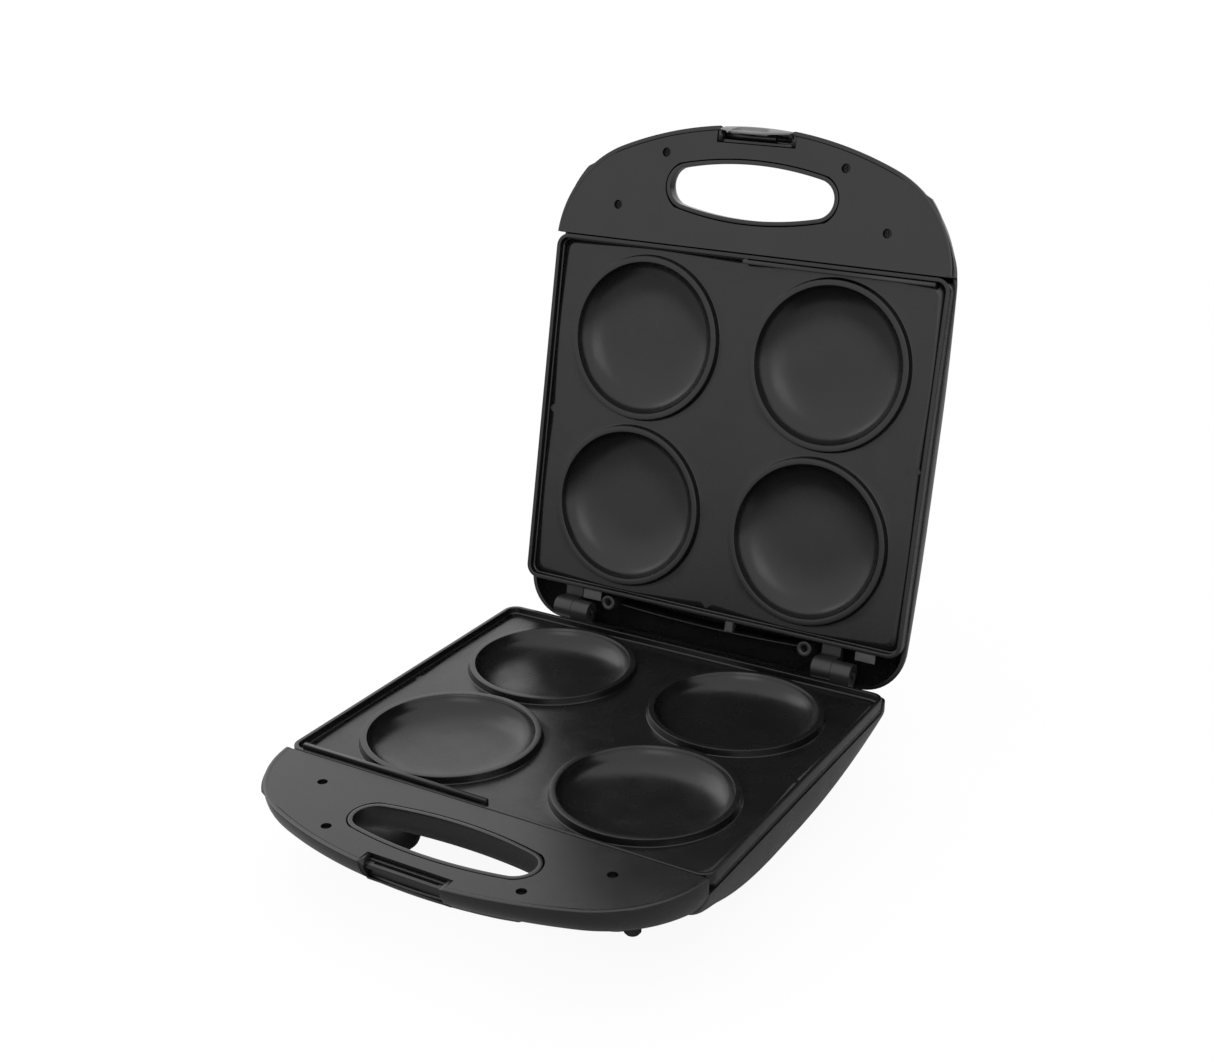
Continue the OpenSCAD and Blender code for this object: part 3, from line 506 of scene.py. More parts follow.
print(f"the ends of the hand hole are rounded by {end_circle()[2]:.1f} mm")

# %% [markdown]
# The rows of the skin run from the outer outline inwards. The first ones round over the edge, the next
# cross the underside to the hand hole, and the last climb the tunnel to the top. The belly's rows go
# from the handle to the back, and stand closest where the form turns fastest.

# %% Skin of the handle and the belly
TURN = np.radians(np.linspace(0, 90, 15))
ACROSS = EDGE_ROUND * (1 - np.cos(TURN))


def seam_line(count=72):
    """X of the points along the line where the belly takes over from the handle, right to left."""
    reach = outline_half_width(np.array(FRONT_Y), 200.0, 1.0)
    inner = np.linspace(reach - EDGE_ROUND, -(reach - EDGE_ROUND), count)[1:-1]
    return reach - ACROSS, inner, -(reach - ACROSS[::-1])


def housing_skin(depth, back_y, back_r, rise):
    """Grids of the outer skin: front of the handle, its bridge to the belly, and the belly."""
    skin = (depth, back_y, back_r)
    right, inner, left = seam_line()
    start = handle_outline(0.0)
    wall = [np.column_stack([start, np.full(len(start), -GAP)])]
    for inset in ACROSS[1:]:
        p = handle_outline(inset)
        p[0, 1] = p[-1, 1] = FRONT_Y
        p[0, 0], p[-1, 0] = right[0] - inset, left[-1] + inset
        wall.append(np.column_stack([p, -skin_depth(p[:, 0], p[:, 1], inset, *skin)]))
    wall = np.stack(wall)
    bridge_start = np.column_stack([inner[::-1], np.full(len(inner), FRONT_Y)])
    front_start = wall[-1, :, :2]
    loop = np.concatenate([front_start, bridge_start])
    hole = matched_hole(loop, FILLET)
    rows = []
    for share in np.linspace(0, 1, 10):
        p = loop + (hole - loop) * share
        z = -skin_depth(p[:, 0], p[:, 1], EDGE_ROUND, *skin) * (1 - TUNNEL_LIFT * share**2)
        rows.append(np.column_stack([p, z]))
    rows = tunnel_rows(np.stack(rows), loop)
    belly = with_back_edge(belly_grid(right, inner, left, *skin), rise)
    return [without_recess(sheet(wall)), sheet(rows, close_columns=True), sheet(belly)]


def without_recess(part, beside=1.1, depth=12.6):
    """Leaves out the faces of the front wall where the latch is let in, and a strip beside it."""
    verts, faces = part
    middle = verts[faces].mean(axis=1)
    inside = (abs(middle[:, 0]) < RECESS_HALF_W + beside) & (middle[:, 2] > -depth)
    return verts, faces[~inside]


def matched_hole(loop, grow):
    """Hole points that face the loop's points. The hole is about three times as long as it is wide, so
    both are squeezed by that much along X, and points at the same angle about the centre face each
    other."""
    centre, squeeze = np.array([0.0, HOLE_MID_Y]), np.array([3.3, 1.0])
    outline = hole_outline(grow)
    to_outline, to_loop = (outline - centre) / squeeze, (loop - centre) / squeeze
    angle = np.mod(np.arctan2(to_outline[:, 1], to_outline[:, 0]), 2 * np.pi)
    order = np.argsort(angle)
    target = np.mod(np.arctan2(to_loop[:, 1], to_loop[:, 0]), 2 * np.pi)
    return np.stack([np.interp(target, angle[order], outline[order, k], period=2 * np.pi) for k in (0, 1)],
                    axis=-1)


def tunnel_rows(rows, loop):
    """Adds a fillet from the underside into the tunnel, then the tunnel wall up to the top."""
    bottom = rows[-1, :, 2]
    extra = []
    for turn in arc(0, 90, 11)[1:]:
        p = matched_hole(loop, FILLET * (1 - math.sin(turn)))
        extra.append(np.column_stack([p, bottom + FILLET * (1 - math.cos(turn))]))
    wall_p = matched_hole(loop, 0.0)
    for share in np.linspace(0, 1, 6)[1:]:
        extra.append(np.column_stack([wall_p, (bottom + FILLET) * (1 - share) - GAP * share]))
    return np.concatenate([rows, np.stack(extra)])


def with_back_edge(belly, rise):
    """Carries the edge of the belly up behind the plate: one more row, and one more column a side."""
    if rise == 0:
        return belly
    start_y, run, least = HALF_D - 7.0, 2.5, 0.05
    lift = least + rise * smooth_step((belly[:, 0, 1] - start_y) / run)
    sides = []
    for column in (0, -1):
        side = belly[:, column].copy()
        side[:, 2] += lift
        sides.append(side[:, None])
    wide = np.concatenate([sides[0], belly, sides[1]], axis=1)
    last = wide[-1].copy()
    last[:, 2] = -EDGE_DROP + lift[-1]
    return np.concatenate([wide, last[None]])


def belly_grid(right, inner, left, depth, back_y, back_r):
    """Rows from the handle to the back. Spacing follows the rounds, so steep parts get more rows."""
    xs = np.concatenate([right, inner, left])
    share = xs / right[0]
    t_front, t_back = np.radians(np.linspace(0, 90, 26)), np.radians(np.linspace(90, 0, 30))
    ys = np.concatenate([FRONT_Y + FRONT_ROUND * (1 - np.cos(t_front)),
                         np.linspace(FRONT_Y + FRONT_ROUND, back_y - BACK_ROUND, 6)[1:-1],
                         back_y - BACK_ROUND * (1 - np.cos(t_back))])
    rows = []
    for y in ys:
        half = outline_half_width(np.array(y), back_y, back_r)
        x = half * share
        z = -skin_depth(x, y, half - abs(x), depth, back_y, back_r)
        rows.append(np.column_stack([x, np.full(len(x), y), z]))
    return np.stack(rows)


print("the seam of handle and belly has", sum(len(x) for x in seam_line()), "points")

# %% [markdown]
# Both housings are made by the same function. The base is a little deeper and squarer, and its edge
# rises behind the plate. The lid is longer, and its rear corners are round.

# %% Housings
# Depth, back edge, radius of the back corners, and how far the edge rises behind the plate
BASE_SHAPE = (50.0, 112.0, 5.5, 6.0)
LID_SHAPE = (45.0, 134.0, 26.0, 0.0)


def housing(name, body, place, node, shape):
    """The skin of a half, thickened inwards like a moulding, with lightly broken edges."""
    piece = make_piece(name, housing_skin(*shape), place, body, [node])
    face_side(piece, place, sense=-1.0)
    wall = piece.modifiers.new("wall", "SOLIDIFY")
    wall.thickness = WALL * MM
    wall.offset = -1.0
    edge = piece.modifiers.new("edge", "BEVEL")
    edge.width = 0.35 * MM
    edge.segments = 2
    edge.limit_method = "ANGLE"
    edge.angle_limit = math.radians(50)
    return piece


base_housing = housing("lower_housing", "base", base_place, "base_shell", BASE_SHAPE)
lid_housing = housing("upper_housing", "lid", lid_place, "lid_shell", LID_SHAPE)

# %% [markdown]
# The latch needs a recess behind the gap in the front wall: a back wall, and a cheek at each end that
# follows the round of the front.

# %% Recess of the latch
RECESS_WALL = 1.8
CHEEK_W = 2.6


def block(x0, x1, y0, y1, z0, z1, r=0.5):
    """Closed block whose edges are rounded by r: a rounded rectangle carried up, drawn in at the ends."""
    cx, cy = (x0 + x1) / 2, (y0 + y1) / 2
    turn = arc(0, 90, 5)
    steps = [(r * (1 - math.sin(t)), z0 + r * (1 - math.cos(t))) for t in turn]
    steps += [(r * (1 - math.cos(t)), z1 - r * (1 - math.sin(t))) for t in turn]
    rows = [np.tile([[cx, cy, z0]], (20, 1))]
    for inset, z in steps:
        loop = rounded_rect((x1 - x0) / 2 - inset, (y1 - y0) / 2 - inset, max(r - inset, 0.05), 5)
        rows.append(np.column_stack([loop[:, 0] + cx, loop[:, 1] + cy, np.full(20, z)]))
    rows.append(np.tile([[cx, cy, z1]], (20, 1)))
    return sheet(np.stack(rows), close_columns=True)


def cheek(x0, x1):
    """Slab between x0 and x1. Its front follows the round y = front + 14 (1 - cos t), z = -14 sin t."""
    t = arc(2, 64, 12)
    front = ARC_Y - np.sqrt(FRONT_R**2 - x0**2) + EDGE_ROUND * (1 - np.cos(t)) + 0.4
    y = np.concatenate([front, [RECESS_BACK_Y + RECESS_WALL] * 2])
    z = np.concatenate([-HANDLE_DEPTH * np.sin(t), [-RECESS_DEPTH, -0.6]])
    rows = [np.column_stack([np.full(len(y), x), y, z]) for x in (x0, x1)]
    caps = [np.column_stack([np.full(len(y), x), np.full(len(y), y.mean()), np.full(len(y), z.mean())])
            for x in (x0, x1)]
    return sheet(np.stack([caps[0], *rows, caps[1]]), close_columns=True)


def recess(half):
    """Two cheeks, the back wall and the thin floor of a recess whose inside reaches half to each side."""
    back, front = RECESS_BACK_Y, FRONT_Y - REACH + 6.5
    under, over, top = -12.3, -11.4, -2.2
    return [cheek(-half - CHEEK_W, -half), cheek(half, half + CHEEK_W),
            block(-half - RECESS_WALL, half + RECESS_WALL, back, back + RECESS_WALL,
                  -RECESS_DEPTH - 1.5, top, r=0.3),
            block(-half - 0.5, half + 0.5, front, back + 0.5, under, over, r=0.3)]


base_recess = make_piece("lower_housing_recess", recess(RECESS_HALF_W), base_place, "base")
lid_recess = make_piece("upper_housing_recess", recess(RECESS_HALF_W - 0.6), lid_place, "lid")

# %% [markdown]
# Behind the upper plate the lid reaches further back than the plate, and one can look into it. Two
# screw bosses, a low bulkhead between them, a clip and two small tabs stand in there. Their
# rounded top edges are all that catches light in the dark. They are moulded with the housing, so
# they belong to it. The same holds for the bosses above the feet.

# %% Turned and moulded details
POST_FOOT = -30.0  # where posts and bulkhead end, inside the moulding
BULKHEAD_HALF = 63.0
BULKHEAD_BOW = 1.8


def lathe(x, y, section, count=40):
    """Closed solid of revolution about the vertical through (x, y): section rows of (radius, z)."""
    a = np.linspace(0, 2 * np.pi, count, endpoint=False)
    rows = [np.column_stack([x + r * np.cos(a), y + r * np.sin(a), np.full(count, z)]) for r, z in section]
    return sheet(np.stack(rows), close_columns=True)


def boss(x, y, top, bottom, radius=4.6, bore=2.0):
    """Screw boss: a post with a rounded top edge and a blind hole."""
    r = 0.35
    section = [(0.0, bottom), (radius, bottom), (radius, top - r), (radius - r * 0.3, top - r * 0.3),
               (radius - r, top), (bore + r, top), (bore, top - r), (bore, top - 10), (0.0, top - 10)]
    return lathe(x, y, section)


def foot_boss(x, y, top=-20.0, bottom=-47.0):
    """Tapered boss above a foot, cut off flat where it meets the front of the belly."""
    section = [(0.0, bottom), (14.3, bottom), (15.2, bottom + 0.4), (15.6, bottom + 1.2),
               (25.0, top), (0.0, top)]
    verts, faces = lathe(x, y, section, count=64)
    cut_y = FRONT_Y - 6.0
    return np.column_stack([verts[:, 0], np.maximum(verts[:, 1], cut_y), verts[:, 2]]), faces


def bulkhead(count=33):
    """Low wall between the posts that bows back: y = y0 + bow (1 - (x / half)^2)."""
    top = -EDGE_DROP - 0.6
    profile = [(0.0, POST_FOOT), (0.0, top - 0.4), (0.12, top - 0.1), (0.4, top), (0.8, top),
               (1.1, POST_FOOT)]
    rows = []
    for x in np.linspace(-BULKHEAD_HALF, BULKHEAD_HALF, count):
        y = HALF_D + 7.0 + BULKHEAD_BOW * (1 - (x / BULKHEAD_HALF) ** 2)
        rows.append([(x, y + back, z) for back, z in profile])
    rows = np.array(rows)
    ends = [np.tile(row.mean(axis=0), (row.shape[0], 1)) for row in (rows[0], rows[-1])]
    return sheet(np.concatenate([ends[0][None], rows, ends[1][None]]), close_columns=True)


print("the bulkhead bows back by", BULKHEAD_BOW, "mm")

# %% Bosses of the feet and inside of the lid's tail
FOOT_BOSS_X, FOOT_BOSS_Y = 70.0, 98.0
POST_X, POST_TOP = 67.5, -3.2

foot_bosses = make_piece("lower_housing_foot_bosses", [
    foot_boss(x, y) for x in (-FOOT_BOSS_X, FOOT_BOSS_X) for y in (-FOOT_BOSS_Y, FOOT_BOSS_Y)
], base_place, "base")

posts = [boss(x, HALF_D + 6.6, POST_TOP, POST_FOOT) for x in (-POST_X, POST_X)]
tail = make_piece("upper_housing_tail", [*posts, bulkhead()], lid_place, "lid")

# A clip beside the middle, and a tab near each corner
tabs = make_piece("upper_housing_tabs", [
    block(11.5, 17.0, HALF_D + 1.2, HALF_D + 9.2, -EDGE_DROP - 5.0, -EDGE_DROP, r=0.8),
    block(-86.0, -73.0, HALF_D + 0.8, HALF_D + 7.0, -5.0, -3.6, r=0.5),
    block(99.5, 112.0, HALF_D + 0.8, HALF_D + 6.4, -5.0, -3.6, r=0.5),
], lid_place, "lid")

# %% [markdown]
# The latch flap is a small D-shaped shell that lies on the front of the lid. Its face is a stack of
# rows: each row is an arc of the handle's front, and the outline narrows towards the tip like the
# letter D. The rows round over at the rim, and Solidify gives the moulding its thickness.

# %% Face of the latch flap
FLAP_TOP, FLAP_TIP = 10.6, -11.2  # heights above and below the parting plane
FLAP_R, FLAP_HALF_W = 34.0, 22.0
FLAP_WALL = 0.9
CURL, CURL_RUN = 4.2, 14.0
SLOT_HALF_W, SLOT_HALF_H, SLOT_CORNER = 8.6, 1.4, 2.2  # of the finger slot
SLOT_Z, SLOT_SUNK = -5.2, 1.4  # height of its middle, and how deep it is sunk


def flap_fall(z):
    """How far the face lies behind the handle's front at height z. Above the parting plane it follows
    the handle's round. Below, down to the tip, it curls in as curl ((1.5 - z) / run)^1.35."""
    lift = np.clip((z - 2.5) / (HANDLE_DEPTH - 2.5), 0, 1)
    above = EDGE_ROUND * (1 - np.sqrt(1 - lift**2))
    return above + CURL * (np.maximum(1.5 - z, 0) / CURL_RUN) ** 1.35


def slot_depth(x, z):
    """Depth of the finger slot at (x, z): its full depth inside a rectangle with round corners that
    widens a little towards the tip, none outside, and a short slope between."""
    spread = abs(x + 0.8) * (1 + 0.03 * (z + 5.0))
    beyond = np.hypot(np.maximum(spread - SLOT_HALF_W, 0), np.maximum(abs(z - SLOT_Z) - SLOT_HALF_H, 0))
    return SLOT_SUNK * (1 - np.clip((beyond - SLOT_CORNER) / 0.5 + 0.5, 0, 1))


def latch_face(count=181, rows=121):
    """Grid over the D: half width at height z is sqrt(r^2 - (z - z0)^2) within the straight sides.
    The face falls away by a quarter ellipse at its edge, and the finger slot is sunk in it."""
    zs = FLAP_TOP + (FLAP_TIP - FLAP_TOP) * (1 - np.cos(np.linspace(0, np.pi, rows))) / 2
    across = np.sin(np.linspace(-np.pi / 2, np.pi / 2, count))
    grid = []
    for z in zs:
        width = min(FLAP_HALF_W, math.sqrt(max(FLAP_R**2 - (z - (FLAP_TIP + FLAP_R)) ** 2, 0.3)))
        x = width * across
        above, below = np.full(count, FLAP_TOP - z), np.full(count, (z - FLAP_TIP) * 1.4)
        edge = np.minimum.reduce([(width - abs(x)), above, below])
        fall = flap_fall(z) + 0.9 * (1 - round_in(edge, 1.6))
        y = ARC_Y - np.sqrt(FRONT_R**2 - x**2) + 0.5 + fall + slot_depth(x, z)
        grid.append(np.column_stack([x, y, np.full(count, -z)]))
    return np.stack(grid)


flap = make_piece("latch_flap_face", [sheet(latch_face())], lid_place, "latch", ["latch_flap"])
middle_face = flap.data.polygons[len(flap.data.polygons) // 2]
if middle_face.normal.z < 0:
    flap.data.flip_normals()
flap_wall = flap.modifiers.new("wall", "SOLIDIFY")
flap_wall.thickness = FLAP_WALL * MM
flap_wall.offset = -1.0

# %% [markdown]
# The flap turns on a pin. A tube round the pin and a thin web carry its face, and both are moulded with
# it. The tube is turned like a post, and then laid along the pin.

# %% Barrel of the latch flap
BARREL_LEFT, BARREL_RIGHT = -21.8, 10.0
BARREL_R, BARREL_BORE = 2.7, 1.1
BARREL_Y, BARREL_Z = RECESS_BACK_Y - 2.6, -8.0


def latch_barrel():
    """Tube that turns on the pin, and the web that carries the face: a lathe laid along X."""
    worn = BARREL_R - 0.3
    section = [(BARREL_BORE, BARREL_LEFT), (worn, BARREL_LEFT), (BARREL_R, BARREL_LEFT + 0.4),
               (BARREL_R, BARREL_RIGHT - 0.4), (worn, BARREL_RIGHT), (BARREL_BORE, BARREL_RIGHT)]
    verts, faces = lathe(0.0, 0.0, section, 32)
    along = np.column_stack([verts[:, 2], BARREL_Y + verts[:, 0], BARREL_Z + verts[:, 1]])
    web = block(BARREL_LEFT + 0.2, BARREL_RIGHT - 0.2, ARC_Y - FRONT_R + 3.2, BARREL_Y - 1.4,
                BARREL_Z - 0.7, BARREL_Z + 0.7, r=0.3)
    return [(along, faces), web]


barrel = make_piece("latch_flap_barrel", latch_barrel(), lid_place, "latch")

# %% [markdown]
# The hinge leaves, pins, screws, covers and feet keep the shapes of the construction model. A
# moulded or stamped edge is never sharp, so the larger ones get a small bevel that catches a line
# of light.

# %% Broken edges
BEVEL_MM = {
    "base_handle_cover": 0.3, "lid_handle_cover": 0.3, "latch_keeper": 0.4,
    "base_hinge_leaf_left": 0.9, "base_hinge_leaf_right": 0.9,
    "lid_hinge_leaf_left": 0.9, "lid_hinge_leaf_right": 0.9,
    "hinge_pin_left": 0.3, "hinge_pin_right": 0.3,
    "cord_gland": 0.4, "power_lamp_lens": 0.2, "ready_lamp_lens": 0.2, "lamp_holder": 0.3,
}


def soften(piece, width):
    """A small bevel on every sharp edge."""
    edge = piece.modifiers.new("edge", "BEVEL")
    edge.width = width * MM
    edge.segments = 3
    edge.limit_method = "ANGLE"
    edge.angle_limit = math.radians(40)


for node, bevel in BEVEL_MM.items():
    soften(frame["nodes"][node], bevel)
print("softened edges on", len(BEVEL_MM), "pieces")

# %% [markdown]
# Materials come next. None of them is one flat colour. Each has a colour that drifts a little, a
# roughness that varies, and a fine bump for the grain that moulding, casting or rubbing leaves.

# %% Material tools
def new_material(name):
    """An empty node material and its Principled shader."""
    material = bpy.data.materials.new(name)
    material.use_nodes = True
    shader = material.node_tree.nodes["Principled BSDF"]
    return material, material.node_tree, shader


def add_node(tree, kind, feeds):
    """A node in tree. feeds gives for each input either a value or the output that drives it."""
    node = tree.nodes.new(kind)
    for name, source in feeds.items():
        if isinstance(source, bpy.types.NodeSocket):
            tree.links.new(source, node.inputs[name])
        else:
            node.inputs[name].default_value = source
    return node


# %% [markdown]
# Nearly every finish here is the same effect with other values: colour and roughness drift in soft
# patches, and a fine grain stands in relief. So that effect is one node group. Its noise reads object
# coordinates, so the pattern stays with the piece as it moves.

# %% Mottle group
GROUP_INPUTS = {"Dark": "Color", "Light": "Color", "Rough Low": "Float", "Rough High": "Float",
                "Patch Scale": "Float", "Grain Scale": "Float", "Grain Strength": "Float",
                "Grain Depth": "Float"}
GROUP_OUTPUTS = {"Color": "Color", "Roughness": "Float", "Normal": "Vector"}


def noise(tree, scale, detail):
    """A noise texture in object coordinates."""
    coords = tree.nodes.new("ShaderNodeTexCoord")
    feeds = {"Vector": coords.outputs["Object"], "Scale": scale, "Detail": detail}
    return add_node(tree, "ShaderNodeTexNoise", feeds).outputs["Fac"]


def mottle_group():
    """Group that gives a colour in patches between Dark and Light, a roughness in finer patches
    between its two ends, and the normal of a fine grain. Noise from 0.3 to 0.7 spans each range."""
    group = bpy.data.node_groups.new("mottle", "ShaderNodeTree")
    for side, sockets in (("INPUT", GROUP_INPUTS), ("OUTPUT", GROUP_OUTPUTS)):
        for name, kind in sockets.items():
            group.interface.new_socket(name=name, in_out=side, socket_type="NodeSocket" + kind)
    given = group.nodes.new("NodeGroupInput").outputs
    result = group.nodes.new("NodeGroupOutput")
    patches = add_node(group, "ShaderNodeMapRange", {
        "Value": noise(group, given["Patch Scale"], 4.0), "From Min": 0.3, "From Max": 0.7})
    colour = group.nodes.new("ShaderNodeMix")
    colour.data_type = "RGBA"
    for index, source in ((0, patches.outputs["Result"]), (6, given["Dark"]), (7, given["Light"])):
        group.links.new(source, colour.inputs[index])
    finer = group.nodes.new("ShaderNodeMath")
    finer.operation = "MULTIPLY"
    group.links.new(given["Patch Scale"], finer.inputs[0])
    finer.inputs[1].default_value = 2.6
    rough = add_node(group, "ShaderNodeMapRange", {
        "Value": noise(group, finer.outputs[0], 5.0), "From Min": 0.3, "From Max": 0.7,
        "To Min": given["Rough Low"], "To Max": given["Rough High"]})
    relief = add_node(group, "ShaderNodeBump", {
        "Height": noise(group, given["Grain Scale"], 2.0), "Strength": given["Grain Strength"],
        "Distance": given["Grain Depth"]})
    group.links.new(colour.outputs[2], result.inputs["Color"])
    group.links.new(rough.outputs["Result"], result.inputs["Roughness"])
    group.links.new(relief.outputs["Normal"], result.inputs["Normal"])
    return group


MOTTLE = mottle_group()


def mottled(name, dark, light, rough_low, rough_high, patch=18.0, grain=900.0, grain_depth=0.00004,
            grain_strength=0.25, metallic=0.0, specular=0.5):
    """A finish made with the mottle group. A colour is given as three values or as one grey."""
    material, tree, shader = new_material(name)
    dark, light = ((*c, 1.0) if isinstance(c, tuple) else (c, c, c, 1.0) for c in (dark, light))
    mottle = tree.nodes.new("ShaderNodeGroup")
    mottle.node_tree = MOTTLE
    values = (dark, light, rough_low, rough_high, patch, grain, grain_strength, grain_depth)
    for socket, value in zip(GROUP_INPUTS, values):
        mottle.inputs[socket].default_value = value
    for output, target in (("Color", "Base Color"), ("Roughness", "Roughness"), ("Normal", "Normal")):
        tree.links.new(mottle.outputs[output], shader.inputs[target])
    shader.inputs["Metallic"].default_value = metallic
    shader.inputs["Specular IOR Level"].default_value = specular
    return material


print("mottle group with", len(GROUP_INPUTS), "inputs")

# %% [markdown]
# The finishes differ in how dark they are, how sharply they mirror and how coarse their grain is. The
# black plastics are close to soot, because nearly all the grey one sees on them is a reflection.

# %% Finishes
shell_black = mottled("satin_black_moulding", 0.0050, 0.0075, 0.24, 0.32, grain=1400.0, grain_strength=0.12)
# The clip and tabs are the housing's moulding made about ten times lighter: a painted highlight for the
# light they catch.
tab_painted_highlight = mottled("moulding_tabs", 0.050, 0.065, 0.36, 0.46, grain=1400.0)
tail_black = mottled("moulding_inside", 0.010, 0.014, 0.36, 0.46, grain=1400.0)
cover_black = mottled("grained_black_cover", 0.0035, 0.0060, 0.22, 0.30, grain=2300.0, grain_strength=0.4,
                      grain_depth=0.00005)
coating = mottled("cast_nonstick_coating", 0.0035, 0.0060, 0.22, 0.30, patch=26.0, grain=2600.0,
                  grain_strength=0.4, grain_depth=0.00005, specular=0.45)
hinge_grey = mottled("moulded_hinge_grey", 0.012, 0.018, 0.38, 0.50, grain=1700.0)
latch_grey = mottled("moulded_latch_grey", 0.120, 0.150, 0.34, 0.44, grain=1800.0)
steel = mottled("rolled_steel", 0.48, 0.60, 0.26, 0.40, grain=3000.0, metallic=1.0, grain_strength=0.15)
# Blackened steel, made darker still: painted shade of the wells that the cover screws sit in.
screw_black_and_painted_shade = mottled("blackened_screw", 0.006, 0.016, 0.40, 0.52, metallic=0.6, grain=2600.0)
sheath = mottled("heating_sheath", 0.16, 0.24, 0.36, 0.55, metallic=0.9, grain=2200.0)
aluminised = mottled("aluminised_sheet", 0.55, 0.66, 0.24, 0.38, metallic=1.0, grain=1500.0)
ceramic = mottled("fired_ceramic", 0.62, 0.72, 0.40, 0.60, grain=2400.0)
rubber = mottled("moulded_rubber", 0.010, 0.016, 0.62, 0.78, grain=1900.0, grain_strength=0.4)
red_lens = mottled("red_lamp_lens", (0.30, 0.008, 0.006), (0.42, 0.014, 0.010), 0.12, 0.2, grain=700.0)
green_lens = mottled("green_lamp_lens", (0.008, 0.20, 0.03), (0.014, 0.30, 0.045), 0.12, 0.2, grain=700.0)
shared = [m.name for m in bpy.data.materials if m.use_nodes and "Group" in m.node_tree.nodes]
print(len(shared), "finishes share the mottle group")

# %% [markdown]
# Every piece takes one finish, chosen by what it is made of. The clip and tabs take a lighter
# copy of the moulding as painted highlight, and the screws' finish is darkened as painted shade of
# their wells. Pieces that ride in from the construction model are listed by the start of their names.

# %% Dress the pieces
FINISH_OF_NODE = [
    ("base_handle_cover", cover_black), ("lid_handle_cover", cover_black),
    ("base_cover_screws", screw_black_and_painted_shade), ("lid_cover_screws", screw_black_and_painted_shade),
    ("base_plate_screws", steel), ("lid_plate_screws", steel),
    ("base_hinge_screws", steel), ("lid_hinge_screws", steel),
    ("base_hinge_leaf", hinge_grey), ("lid_hinge_leaf", hinge_grey), ("hinge_pin", screw_black_and_painted_shade),
    ("base_heating", sheath), ("lid_heating", sheath), ("base_reflector", aluminised),
    ("lid_reflector", aluminised), ("thermostat", ceramic), ("thermal_fuse", steel),
    ("terminal_block", ceramic), ("cord_gland", rubber), ("foot_", rubber),
    ("latch_keeper", shell_black), ("lamp_holder", shell_black), ("power_lamp_lens", red_lens),
    ("ready_lamp_lens", green_lens), ("latch_pin", screw_black_and_painted_shade), ("latch_spring", screw_black_and_painted_shade),
]


def dress(piece, material):
    """Gives a piece one finish in place of what it had."""
    piece.data.materials.clear()
    piece.data.materials.append(material)


NEW_PIECES = [
    (base_housing, shell_black, "housing"), (lid_housing, shell_black, "housing"),
    (tail, tail_black, "housing"), (tabs, tab_painted_highlight, "housing"),
    (foot_bosses, shell_black, "housing"), (barrel, shell_black, "housing"),
    (base_recess, shell_black, "housing"), (lid_recess, shell_black, "housing"),
    (base_plate, coating, "plate"), (base_rail, coating, "plate"),
    (lid_plate, coating, "plate"), (lid_rail, coating, "plate"), (flap, latch_grey, "cover"),
]
for piece, material, slot in NEW_PIECES:
    dress(piece, material)
dressed = len(NEW_PIECES)
for node, piece in frame["nodes"].items():
    for start, material in FINISH_OF_NODE:
        if node.startswith(start):
            dress(piece, material)
            dressed += 1
print("dressed", dressed, "pieces")

# %% [markdown]
# The maker stands on a white ground that fades into a white background, the way a product is shown on
# a page. The camera sees a floor that is mostly self-lit, so that the shadow stays as faint as on a
# light table. All other rays see a mid grey, because a product on a page is lit from around and
# above, not from below.

# %% Floor
def stage_sheet(name, corners, finish, grey, gloss):
    """A flat sheet of one dull grey that belongs to the studio and not to the maker."""
    mesh = bpy.data.meshes.new(name)
    mesh.from_pydata(corners, [], [(0, 1, 2, 3)])
    piece = bpy.data.objects.new(name, mesh)
    bpy.context.scene.collection.objects.link(piece)
    material, tree, shader = new_material(finish)
    shader.inputs["Base Color"].default_value = (grey, grey, grey, 1.0)
    shader.inputs["Roughness"].default_value = 0.9
    shader.inputs["Specular IOR Level"].default_value = gloss
    mesh.materials.append(material)
    return piece, tree, shader


def mix_for_camera(tree, unseen, seen):
    """Shader output that is seen where the camera looks and unseen for every other ray."""
    path = tree.nodes.new("ShaderNodeLightPath")
    mix = tree.nodes.new("ShaderNodeMixShader")
    for index, source in enumerate((path.outputs["Is Camera Ray"], unseen, seen)):
        tree.links.new(source, mix.inputs[index])
    return mix.outputs["Shader"]


FLOOR_REACH = 6.0
GLOW, SHADE = 0.93, 0.07
floor_corners = [(x * FLOOR_REACH, y * FLOOR_REACH, 0) for x, y in ((-1, -1), (1, -1), (1, 1), (-1, 1))]
floor_tree, floor_shader = stage_sheet("floor", floor_corners, "floor_white", 0.38, 0.1)[1:]
glow = add_node(floor_tree, "ShaderNodeEmission", {"Color": (GLOW, GLOW, GLOW, 1.0)})
shade = add_node(floor_tree, "ShaderNodeBsdfDiffuse", {"Color": (SHADE, SHADE, SHADE, 1.0)})
table = floor_tree.nodes.new("ShaderNodeAddShader")
floor_tree.links.new(glow.outputs["Emission"], table.inputs[0])
floor_tree.links.new(shade.outputs["BSDF"], table.inputs[1])
floor_tree.links.new(mix_for_camera(floor_tree, floor_shader.outputs["BSDF"], table.outputs["Shader"]),
                     floor_tree.nodes["Material Output"].inputs["Surface"])
print("floor: glows", GLOW, "and shades", SHADE, "for the camera")

# %% Background
WHITE, SKY_STRENGTH = (1.0, 1.0, 1.0, 1.0), 1.20
world = bpy.data.worlds.new("studio")
world.use_nodes = True
bpy.context.scene.world = world
sky = world.node_tree
sky.nodes.clear()
page = add_node(sky, "ShaderNodeBackground", {"Color": WHITE})
light_all_round = add_node(sky, "ShaderNodeBackground", {"Color": WHITE, "Strength": SKY_STRENGTH})
background = mix_for_camera(sky, light_all_round.outputs["Background"], page.outputs["Background"])
add_node(sky, "ShaderNodeOutputWorld", {"Surface": background})
print("white background, light from all round at strength", SKY_STRENGTH)

# %% [markdown]
# Black plastic shows almost nothing but the reflections of the lights. A large soft light at the
# left gives the base its bright left side, and one in front draws the thin bright lines along the cups
# and the handle.

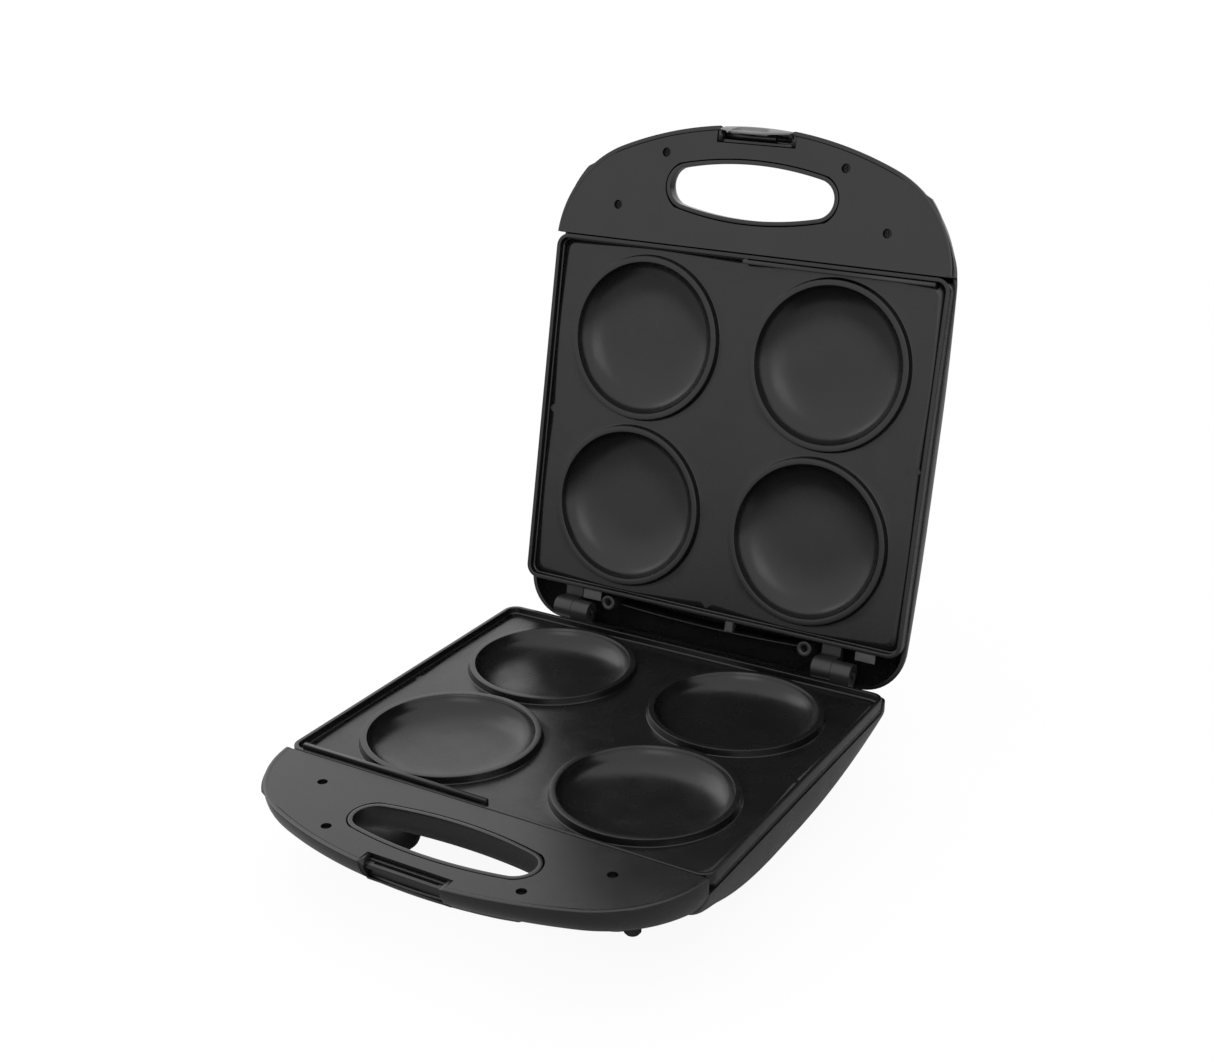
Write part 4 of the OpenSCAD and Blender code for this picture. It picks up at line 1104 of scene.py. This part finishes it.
# %% Lights
def softbox(name, place, target, power, size=(1.2, 0.9)):
    """An area light at place, turned to look at target."""
    data = bpy.data.lights.new(name, "AREA")
    data.shape = "RECTANGLE"
    data.size, data.size_y = size
    data.energy = power
    light = bpy.data.objects.new(name, data)
    light.location = place
    light.rotation_euler = (Vector(target) - Vector(place)).to_track_quat("-Z", "Y").to_euler()
    bpy.context.scene.collection.objects.link(light)


softbox("left_softbox", (-1.4, 0.3, 1.1), (0.0, 0.0, 0.08), 3.0)
softbox("front_softbox", (0.4, -1.9, 1.0), (0.0, 0.0, 0.1), 4.0)
print("lights:", [light.name for light in bpy.data.lights])

# %% [markdown]
# On the right stands a black card, such as a studio puts beside a glossy object. The camera never
# sees it. The right sides of the maker mirror it, and that is what makes them fall off into black.

# %% Black card
CARD_NEAR, CARD_FAR = (0.9, 0.1), (0.7, 1.9)
CARD_LOW, CARD_HIGH = 0.05, 1.1
card_corners = [(*CARD_NEAR, CARD_LOW), (*CARD_FAR, CARD_LOW),
                (*CARD_FAR, CARD_HIGH), (*CARD_NEAR, CARD_HIGH)]
card = stage_sheet("black_card", card_corners, "black_card", 0.02, 0.0)[0]
card.visible_camera = False
print("the card is", CARD_HIGH - CARD_LOW, "m high")

# %% [markdown]
# The camera stands to the front right and looks down a little more than twenty degrees. Its lens is
# a short telephoto, so the far half looks nearly as large as the near one.

# %% Camera
AZIMUTH, PITCH, ROLL = math.radians(30.476), math.radians(21.371), math.radians(-0.096)
camera_data = bpy.data.cameras.new("camera")
camera_data.sensor_fit = "HORIZONTAL"
camera_data.sensor_width = 36.0
camera_data.lens = 51.345
camera_data.clip_start = 0.02
camera_data.dof.use_dof = False
camera = bpy.data.objects.new("camera", camera_data)
camera.location = (0.4397, -0.7344 + PLATE_Y * MM, 0.5021)
turn = (Matrix.Rotation(AZIMUTH, 4, "Z") @ Matrix.Rotation(math.radians(90) - PITCH, 4, "X")
        @ Matrix.Rotation(ROLL, 4, "Z"))
camera.rotation_euler = turn.to_euler()
bpy.context.scene.collection.objects.link(camera)
bpy.context.scene.camera = camera
bpy.context.scene.view_settings.view_transform = "Standard"
print(f"the camera is {camera.location.length:.2f} m away and looks down {math.degrees(PITCH):.1f} degrees")
